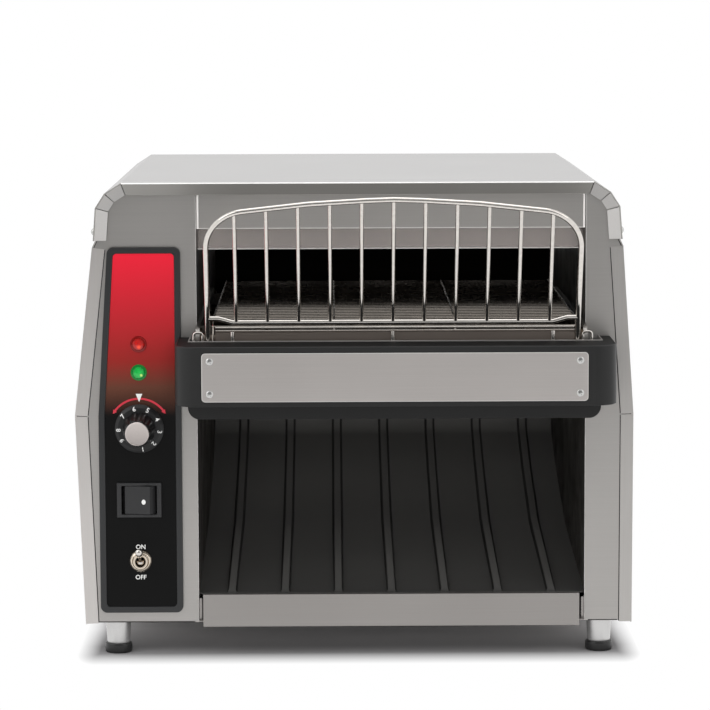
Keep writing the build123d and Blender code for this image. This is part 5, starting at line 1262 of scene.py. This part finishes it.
@dataclass
class LoadingGuard(SubAssembly):
    """Arched wire guard that stands in the trough."""
    half: float = 136.7
    foot_ahead: float = 34.5
    bend_z: float = 244.0
    top_z: float = 350.65
    lean: float = 24.5
    arch_radius: float = 2.0
    rod_radius: float = 1.5
    cross_radius: float = 1.9
    corners: tuple[tuple[float, float], ...] = ((136.7, 338.5), (61.5, 347.0))
    bends: tuple[float, ...] = (31.0, 120.0)
    crown: float = 300.0
    foot_bend: float = 8.0
    cross_z: float = 257.3
    cross_step: float = 3.0
    cross_crank: float = 10.0
    cross_past: float = 3.0
    cross_bend: float = 6.0
    wire_sides: int = 20
    rod_sides: int = 16
    arch_arc: float = 6.0
    cross_arc: float = 8.0
    rods: int = 11
    rod_pitch: float = 23.1
    end_weld: Point = (2.0, 2.0, 2.3)
    foot_weld: Point = (1.9, 1.8, 2.0)
    head_weld: Point = (1.9, 1.8, 1.9)

    def point(self, x: float, z: float) -> Point:
        """A point of the guard's leaning plane, x from its middle."""
        panel = Span.of("front_fascia").low.y
        lean = tan(radians(self.lean)) * max(z - self.bend_z, 0)
        return Span.of("guard_arch").mid.x + x, panel - self.foot_ahead - lean, z

    def build(self) -> None:
        """Arch, cross wire and rods, with spots of weld where they meet."""
        bm = bmesh.new()
        wire(bm, self.arch_line(), self.arch_radius, self.wire_sides)
        self.keep(bm, "arch_wire", "guard_arch", weighted=False)
        self.cross_wire()
        self.upright_rods()

    def arch_line(self) -> list[Vector]:
        """Middle line of the arched wire, from the left foot to the right one."""
        half = [(self.half, Span.of("guard_arch").low.z), (self.half, self.bend_z), *self.corners]
        outline = [(-x, z) for x, z in half] + [(0, self.top_z)] + half[::-1]
        bends = [self.foot_bend, *self.bends, self.crown, *self.bends[::-1], self.foot_bend]
        return rounded_line([self.point(x, z) for x, z in outline], bends, self.arch_arc)

    def cross_wire(self) -> None:
        """The cranked cross wire, with a spot of weld at each end."""
        inner = (self.rods - 1) / 2 * self.rod_pitch + self.cross_past
        high = self.cross_z + self.cross_step
        half = [(self.half, high), (inner + self.cross_crank, high), (inner, self.cross_z)]
        points = [self.point(x, z) for x, z in [(-x, z) for x, z in half] + half[::-1]]
        bm = bmesh.new()
        wire(bm, rounded_line(points, [self.cross_bend] * 4, self.cross_arc), self.cross_radius, self.wire_sides)
        for x in (-self.half, self.half):
            bead(bm, self.point(x, high), self.end_weld)
        self.keep(bm, "cranked_cross_wire", "guard_cross_wire", weighted=False)

    def under_arch(self, x: float) -> Vector:
        """The point of the arched wire at a distance from its middle."""
        at, line = self.point(x, self.top_z)[0], self.arch_line()
        start, end = next((a, b) for a, b in zip(line, line[1:]) if a.x <= at <= b.x and a.z > self.cross_z)
        return start.lerp(end, (at - start.x) / (end.x - start.x))

    def upright_rods(self) -> None:
        """The rods between the cross wire and the arch, with a spot of weld at both ends."""
        bm = bmesh.new()
        for i in range(self.rods):
            x = (i - (self.rods - 1) / 2) * self.rod_pitch
            foot, head = self.point(x, self.cross_z), self.under_arch(x)
            rod(bm, foot, head, self.rod_radius, self.rod_sides)
            bead(bm, foot, self.foot_weld)
            bead(bm, head, self.head_weld)
        self.keep(bm, "upright_rods", "guard_rods", weighted=False)


@dataclass
class ControlPanel(SubAssembly):
    """Bezel, printed label, its marks, and the two lamps."""
    arc_radius: float = 22.6
    arc_width: float = 1.5
    arc_half_turn: float = 53.0
    arc_steps: int = 40
    head_half: float = 1.7
    head_length: float = 3.0
    mark_thick: float = 0.08
    pointer_thick: float = 0.14
    pointer_z: float = 196.6
    pointer_half: float = 2.5
    pointer_height: float = 6.2
    word_height: float = 3.5
    on_above: float = 10.6
    off_below: float = 12.6

    def build(self) -> None:
        """Bezel and label, printed marks and lamps."""
        self.soften("control_bezel", "moulded_bezel", 0.7, segments=3)
        self.soften("control_label", "printed_label", 0.0)
        self.arc()
        self.white_marks()
        self.lamp("power_lamp", "red_jewel")
        self.lamp("ready_lamp", "green_jewel")

    def arc(self) -> None:
        """Red arc over the dial, with an arrowhead at each end."""
        dial, bm = Span.of("dial_skirt").mid, bmesh.new()
        half = radians(self.arc_half_turn)
        ends = [bm.verts.new((-sin(half) * radius, cos(half) * radius, 0))
                for radius in (self.arc_radius - self.arc_width / 2, self.arc_radius + self.arc_width / 2)]
        bmesh.ops.spin(bm, geom=[*ends, bm.edges.new(ends)], cent=(0, 0, 0), axis=(0, 0, -1), dvec=(0, 0, 0),
                       angle=2 * half, steps=self.arc_steps, use_merge=False, use_duplicate=False)
        for side in (-1, 1):
            turn = Matrix.Rotation(-side * half, 4, "Z") @ Matrix.Translation((0, self.arc_radius, 0))
            corners = [(0, -self.head_half, 0), (side * self.head_length, 0, 0), (0, self.head_half, 0)]
            bm.faces.new([bm.verts.new(turn @ Vector(corner)) for corner in corners])
        thicken(bm, self.mark_thick)
        move(bm, bm.verts, Matrix.Translation((dial.x, Span.of("control_label").low.y, dial.z)) @ UPRIGHT)
        self.trim(bm, "speed_arc", "control_label", PRINT_RED)

    def white_marks(self) -> None:
        """White pointer over the dial, and the toggle's two words."""
        face, nut, bm = Span.of("control_label").low.y, Span.of("toggle_nut").mid, bmesh.new()
        wide, high = self.pointer_half, self.pointer_height / 2
        bm.faces.new([bm.verts.new(corner) for corner in ((-wide, high, 0), (0, -high, 0), (wide, high, 0))])
        thicken(bm, self.pointer_thick)
        move(bm, bm.verts, Matrix.Translation((Span.of("dial_skirt").mid.x, face, self.pointer_z)) @ UPRIGHT)
        for text, rise in (("ON", self.on_above), ("OFF", -self.off_below)):
            add_lettering(bm, text, self.word_height, Matrix.Translation((nut.x, face, nut.z + rise)) @ UPRIGHT)
        self.trim(bm, "white_marks", "control_label", PRINT_WHITE)

    def lamp(self, node: str, name: str) -> None:
        """A faceted jewel with a rolled rim, and its body behind the panel."""
        span, face = Span.of(node), Span.of("control_label").low.y
        rise, back, radius = face - span.low.y, face - span.high.y, span.size.x / 2
        self.spun(name, node, [
            (0, back), (4.6, back), (5.0, back + 0.4), (5.0, 0), (radius - 0.1, 0), (radius, 0.3),
            (radius - 0.3, 0.9), (radius - 0.7, 1.0), (radius - 0.9, 0.75), (radius - 1.3, 0.8),
            (radius - 1.9, rise - 0.5), (radius - 3.0, rise - 0.1), (1.6, rise), (0, rise)], span.ahead(face), 48)


@dataclass
class SpeedKnob(SubAssembly):
    """Speed control: its body, shaft, numbered skirt, fluted grip and cap."""
    flutes: int = 10
    flute_radius: float = 2.0
    flute_out: float = 1.1
    around: int = 160
    digit_height: float = 3.6
    digit_radius: float = 15.6
    digit_lift: float = 0.2
    digit_cuts: int = 5
    digit_cut_in: float = 0.2
    digit_cut_step: float = 0.45
    digits: tuple[tuple[str, float], ...] = (
        ("5", 25.0), ("4", 62.0), ("3", 98.0), ("2", 135.0), ("1", 170.3), ("6", -13.7), ("7", -51.2),
        ("8", -92.8), ("9", -123.7))
    skirt_bore: float = 3.1
    skirt_slope: float = 2.5
    skirt_rim: float = 1.0

    def build(self) -> None:
        """All pieces of the control."""
        self.soften("speed_pot", "speed_control_body", 0.4)
        self.soften("knob_shaft", "control_shaft", 0.3)
        self.skirt()
        self.numbers()
        self.grip()
        cap = Span.of("knob_cap")
        radius, thick = cap.size.x / 2, cap.size.y
        self.spun("spun_cap", "knob_cap", [
            (0, 0), (radius - 0.1, 0), (radius, 0.2), (radius, thick - 0.3), (radius - 0.3, thick),
            (radius - 0.9, thick), (radius - 1.3, thick - 0.15), (0, thick - 0.25)], cap.ahead(cap.high.y), 96)

    def skirt(self) -> None:
        """Turned skirt with a sloping face."""
        span, bore, rim = Span.of("dial_skirt"), self.skirt_bore, self.skirt_rim
        radius, thick = span.size.x / 2, span.size.y
        flat = radius - self.skirt_slope
        self.spun("numbered_skirt", "dial_skirt", [
            (bore, 0), (radius - 0.3, 0), (radius, 0.3), (radius, rim - 0.2), (radius - 0.25, rim + 0.1),
            (flat + 0.3, thick - 0.2), (flat - 0.2, thick), (bore, thick), (bore, 0)], span.ahead(span.high.y), 96)

    def numbers(self) -> None:
        """The dial's digits, cut across and bent to follow the skirt's face."""
        span, bm = Span.of("dial_skirt"), bmesh.new()
        flat = span.size.x / 2 - self.skirt_slope
        slope = (span.size.y - self.skirt_rim) / self.skirt_slope
        middle = Vector((span.mid.x, 0, span.mid.z))
        for text, angle in self.digits:
            turn = Matrix.Rotation(radians(angle), 4, "Y")
            before, out = set(bm.verts), turn @ Vector((0, 0, 1))
            upwards = Matrix.Translation((0, 0, self.digit_radius)) @ UPRIGHT
            add_lettering(bm, text, self.digit_height, Matrix.Translation(middle) @ turn @ upwards)
            for step in range(self.digit_cuts):
                parts = fresh(bm, before)
                parts += {item for vert in parts for item in (*vert.link_edges, *vert.link_faces)}
                level = middle + out * (flat - self.digit_cut_in + step * self.digit_cut_step)
                bmesh.ops.bisect_plane(bm, geom=parts, dist=1e-5, plane_co=level, plane_no=out)
            for vert in fresh(bm, before):
                away = hypot(vert.co.x - middle.x, vert.co.z - middle.z)
                vert.co.y += span.low.y + max(0.0, away - flat) * slope - self.digit_lift
        self.trim(bm, "dial_digits", "dial_skirt", PRINT_WHITE)

    def flute_outline(self, angle: float, radius: float) -> float:
        """Distance of the grip's outline from its axis, at an angle."""
        step = TURN / self.flutes
        off = (angle + step / 2) % step - step / 2
        centre = radius + self.flute_out
        inside = self.flute_radius ** 2 - (centre * sin(off)) ** 2
        return radius if inside <= 0 else min(radius, centre * cos(off) - sqrt(inside))

    def grip(self) -> None:
        """Fluted, tapered grip with a rounded front edge."""
        span, bm = Span.of("knob_barrel"), bmesh.new()
        length = span.size.y
        bmesh.ops.create_circle(bm, cap_ends=True, segments=self.around, radius=1.0)
        ring, edges = list(bm.verts), list(bm.edges)
        for radius, height in ((12.6, 0.0), (12.55, 0.6), (10.3, length - 1.6), (9.95, length - 0.7),
                               (9.3, length - 0.1), (9.1, length)):
            if height:
                made = bmesh.ops.extrude_edge_only(bm, edges=edges)["geom"]
                ring, edges = pick(made, BMVert), pick(made, BMEdge)
            for vert in ring:
                angle = atan2(vert.co.x, vert.co.y)
                out = self.flute_outline(angle, radius)
                vert.co = Vector((sin(angle) * out, cos(angle) * out, height))
        bmesh.ops.contextual_create(bm, geom=edges)
        bmesh.ops.recalc_face_normals(bm, faces=bm.faces)
        move(bm, bm.verts, span.ahead(span.high.y))
        self.keep(bm, "fluted_grip", "knob_barrel")


@dataclass
class RockerSwitch(SubAssembly):
    """Rocker switch: frame, body and paddle with a white dot."""
    dot_out: float = 3.5
    dot_rise: float = -1.3
    dot_half_width: float = 1.6
    dot_half_height: float = 1.95
    dot_thick: float = 0.1
    probe_ahead: float = 50.0

    def build(self) -> None:
        """Moulded pieces, and the dot on the paddle's face."""
        self.soften("rocker_frame", "switch_frame", 0.5)
        self.soften("rocker_body", "switch_case", 0.3)
        self.dot(self.soften("rocker_paddle", "switch_paddle", 0.6, segments=3, sharp=25))

    def dot(self, paddle: bpy.types.Object) -> None:
        """A printed oval that lies on the paddle's face."""
        span = Span.of("rocker_paddle")
        tree = BVHTree.FromObject(paddle, bpy.context.evaluated_depsgraph_get())
        start = Vector((span.mid.x + self.dot_out, span.low.y - self.probe_ahead, span.mid.z + self.dot_rise)) * MM
        hit, normal, _, _ = tree.ray_cast(start, Vector((0, 1, 0)))
        bm = bmesh.new()
        bmesh.ops.create_circle(bm, cap_ends=True, segments=32, radius=1.0)
        bmesh.ops.scale(bm, verts=bm.verts, vec=(self.dot_half_width, self.dot_half_height, 1.0))
        thicken(bm, self.dot_thick)
        yaw = Matrix.Rotation(atan2(normal.x, -normal.y), 4, "Z")
        move(bm, bm.verts, Matrix.Translation(hit / MM) @ yaw @ UPRIGHT)
        self.trim(bm, "paddle_dot", "rocker_paddle", PRINT_WHITE)


@dataclass
class ToggleSwitch(SubAssembly):
    """Toggle switch: body, threaded bush with its dress nut, and bat lever."""
    threads: int = 7
    bush_radius: float = 6.0
    bore_radius: float = 4.0
    rim: float = 2.0
    nut_length: float = 3.4
    bush_length: float = 6.0
    pivot_in: float = 3.0
    ball_radius: float = 3.25
    tip_radius: float = 2.85
    lever: float = 22.0
    tilt: float = 28.0

    def build(self) -> None:
        """Body, nut and lever."""
        self.soften("toggle_body", "toggle_case", 0.4)
        self.nut()
        self.bat()

    def nut(self) -> None:
        """Dress nut with a rolled face, and the threaded bush through it."""
        span, face = Span.of("toggle_nut"), Span.of("control_label").low.y
        back, radius, place = face - span.high.y, span.size.x / 2, span.ahead(face)
        bush, bore, rim, nut, end = self.bush_radius, self.bore_radius, self.rim, self.nut_length, self.bush_length
        bm = bmesh.new()
        turned(bm, [(bush - 0.3, 0.0), (radius - 0.3, 0.0), (radius, 0.4), (radius, rim - 0.3),
                    (radius - 0.4, rim + 0.2), (radius - 1.2, nut - 0.3), (radius - 1.8, nut),
                    (bush - 0.3, nut - 0.2), (bush - 0.3, 0.0)], place, 72)
        start = nut - 0.4
        step = (end - 0.4 - start) / self.threads
        crests = [point for i in range(self.threads)
                  for point in ((bush - 0.35, start + i * step), (bush - 0.05, start + (i + 0.5) * step))]
        turned(bm, [(bore, back), (bush - 0.1, back), (bush - 0.1, start - 0.1), *crests, (bush - 0.5, end),
                    (bore + 0.4, end), (bore, end - 0.5), (bore, back)], place, 48)
        self.keep(bm, "dress_nut", "toggle_nut")

    def bat(self) -> None:
        """Polished bat lever, swelling to its rounded tip, with a ball in the bush."""
        nut, face, lean = Span.of("toggle_nut").mid, Span.of("control_label").low.y, radians(self.tilt)
        place = facing((0, -cos(lean), sin(lean)), (nut.x, face - self.bush_length + self.pivot_in, nut.z))
        tip, ball, end = self.lever, self.ball_radius, self.tip_radius
        low = [(ball * sin(i * pi / 10), -ball * cos(i * pi / 10)) for i in range(9)]
        dome = [(end * cos(i * pi / 12), tip + end * sin(i * pi / 12)) for i in range(6)]
        self.spun("bat_lever", "toggle_lever", [
            *low, (1.5, 4.2), (1.5, 7.0), (1.75, 9.5), (2.3, 14.5), (2.75, tip - 2.5), *dome, (0, tip + end)],
            place, 40)


# ---- Studio
@dataclass
class Studio:
    """Camera, surround, lamps and floor; the lamps and the floor's patches are in metres."""
    lens: float = 160.7
    sensor: float = 36.0
    clip: tuple[float, float] = (0.05, 200.0)
    eye: Point = (-18.0, -2366.0, 500.5)
    pitch: float = 6.57
    yaw: float = 0.45
    roll: float = 0.19
    soft_light: float = 0.85
    sides: tuple[float, float, float] = (1.0, 0.25, 0.75)      # brightness, and where it starts and ends
    room: tuple[tuple[str, float, float, float, float], ...] = (      # axis, low, high, start, end
        ("Y", 0.0, 0.8, -0.2, 0.35), ("X", 0.12, 0.3, -0.3, 0.3), ("Z", 0.0, 1.0, 0.3, 0.9))
    aim: Point = (0.0, -0.1, 0.18)
    soft_boxes: tuple[tuple[str, Point, float, float], ...] = (
        ("soft_left", (-2.2, -1.6, 2.2), 2.0, 15.0), ("soft_right", (2.2, -1.6, 2.2), 2.0, 8.0),
        ("soft_top", (0.0, 0.4, 2.6), 2.0, 14.0), ("front_fill", (0.0, -2.6, 0.3), 1.2, 22.0))
    floor_reach: float = 60.0
    floor_front: float = 1.6
    floor_greys: tuple[Colour, Colour] = ((0.46, 0.46, 0.46), (0.5, 0.5, 0.5))
    under_pale: tuple[Colour, Colour] = ((0.86, 0.85, 0.86), (0.9, 0.89, 0.9))
    # painted shadow: the seen floor darkens towards the patch's front and rear edges
    under_painted_shadow: tuple[Colour, Colour] = ((0.36, 0.355, 0.36), (0.39, 0.385, 0.39))
    painted_shadow_from: float = 0.104
    painted_shadow_to: float = 0.172
    shade_middle: Point = (0.0029, 0.038, 0.0)
    shade_half: Point = (0.197, 0.199, 0.0)
    shade_fade: Point = (2.4, 1.0, 1.0)
    white_from: float = 0.04

    def build(self) -> None:
        """Everything that isn't part of the object."""
        self.camera()
        self.world()
        self.lamps()
        self.floor()
        bpy.context.scene.view_settings.view_transform = "Standard"

    def camera(self) -> None:
        """Camera at eye height in front of the object, looking slightly down."""
        data = bpy.data.cameras.new("camera")
        data.lens, data.sensor_width = self.lens, self.sensor
        data.clip_start, data.clip_end = self.clip
        camera = linked("camera", data)
        pitch, yaw, roll = radians(self.pitch), radians(self.yaw), radians(self.roll)
        ahead = Vector((sin(yaw) * cos(pitch), cos(yaw) * cos(pitch), -sin(pitch)))
        right = ahead.cross(Vector((0, 0, 1))).normalized()
        up = right.cross(ahead)
        turn = Matrix((right * cos(roll) - up * sin(roll), up * cos(roll) + right * sin(roll), -ahead)).transposed()
        x, y, z = self.eye
        place = Vector((x, Span.of("front_fascia").low.y + y, z)) * MM
        camera.matrix_world = Matrix.Translation(place) @ turn.to_4x4()
        bpy.context.scene.camera = camera

    def world(self) -> None:
        """White surround; metal sees it white at the sides and behind, and greyer in front."""
        world = bpy.data.worlds.new("surround")
        bpy.context.scene.world = world
        world.use_nodes = True
        sheet = NodeSheet(world.node_tree)
        way = sheet.add("ShaderNodeTexCoord").outputs["Generated"]
        room = sheet.span(sheet.math("ABSOLUTE", sheet.axis(way, "X")), 0.0, *self.sides)
        for letter, *levels in self.room:
            room = sheet.math("MAXIMUM", room, sheet.span(sheet.axis(way, letter), *levels))
        path = sheet.add("ShaderNodeLightPath").outputs
        shiny = sheet.math("MAXIMUM", path["Is Glossy Ray"], path["Is Transmission Ray"])
        level = sheet.choose(path["Is Camera Ray"], sheet.choose(shiny, self.soft_light, room), 1.0)
        shell = sheet.add("ShaderNodeBackground", {"Color": (1, 1, 1, 1), "Strength": level})
        sheet.add("ShaderNodeOutputWorld", {"Surface": shell.outputs[0]})

    def lamps(self) -> None:
        """Large soft boxes high at the front left, at the front right and overhead, and a low fill."""
        for name, place, size, power in self.soft_boxes:
            data = bpy.data.lights.new(name, "AREA")
            data.shape, data.size, data.energy = "SQUARE", size, power
            lamp = linked(name, data)
            lamp.matrix_world = facing(Vector(place) - Vector(self.aim), place)
            lamp.visible_glossy = name != "front_fill"

    def floor(self) -> None:
        """Large pale floor that keeps the object's shadow."""
        bm = bmesh.new()
        bmesh.ops.create_grid(bm, x_segments=1, y_segments=1, size=1.0)
        for vert in bm.verts:
            y = self.floor_reach if vert.co.y > 0 else -self.floor_front
            vert.co = Vector((vert.co.x * self.floor_reach, y, 0.0))
        mesh = bpy.data.meshes.new("floor")
        bm.to_mesh(mesh)
        bm.free()
        floor = linked("floor", mesh)
        material = bpy.data.materials.new("pale_floor")
        material.use_nodes = True
        self.paint_floor(NodeSheet(material.node_tree))
        mesh.materials.append(material)

    def paint_floor(self, sheet: NodeSheet) -> None:
        """Even grey for light, and for the eye a shaded patch under the object, darkened by a painted shadow towards
        its front and rear edges, that ends in white.
        """
        clouds = sheet.noise(3.0)
        plain = sheet.add("ShaderNodeBsdfDiffuse", {"Color": sheet.mix(clouds, *self.floor_greys)})
        away = sheet.vector("ABSOLUTE", sheet.place((1, 1, 0), self.shade_middle))
        # painted shadow darkens the floor between these distances from the middle
        dim = sheet.span(sheet.axis(away, "Y"), 0.0, 1.0, self.painted_shadow_from, self.painted_shadow_to)
        under = sheet.blend(dim, sheet.mix(clouds, *self.under_pale), sheet.mix(clouds, *self.under_painted_shadow))
        seen = sheet.add("ShaderNodeBsdfDiffuse", {"Color": under})
        for operation, *values in (("SUBTRACT", self.shade_half), ("MAXIMUM", (0, 0, 0)),
                                   ("MULTIPLY", self.shade_fade), ("LENGTH",)):
            away = sheet.vector(operation, away, *values)
        share = sheet.span(away, 0.0, 1.0, 0.0, self.white_from)
        lift = sheet.add("ShaderNodeEmission", {"Color": (1, 1, 1, 1), "Strength": 1.0})
        bright = sheet.add("ShaderNodeMixShader", {0: share, 1: seen.outputs[0], 2: lift.outputs[0]})
        path = sheet.add("ShaderNodeLightPath").outputs
        shown = sheet.math("MAXIMUM", path["Is Camera Ray"], path["Is Glossy Ray"])
        shown = sheet.math("MAXIMUM", shown, path["Is Transmission Ray"])
        mix = sheet.add("ShaderNodeMixShader", {0: shown, 1: plain.outputs[0], 2: bright.outputs[0]})
        sheet.add("ShaderNodeOutputMaterial", {"Surface": mix.outputs[0]})


def main() -> None:
    """Builds and dresses every sub-assembly in order, then the studio."""
    logging.basicConfig(level=logging.INFO, format="%(message)s")
    for part in (Cabinet(), Tunnel(), Conveyor(), Drive(), Electrics(), Discharge(), Shelf(),
                 LoadingGuard(), ControlPanel(), SpeedKnob(), RockerSwitch(), ToggleSwitch()):
        part.build()
        part.dress()
    Studio().build()
    bpy.context.view_layer.update()


if __name__ == "__main__":
    main()
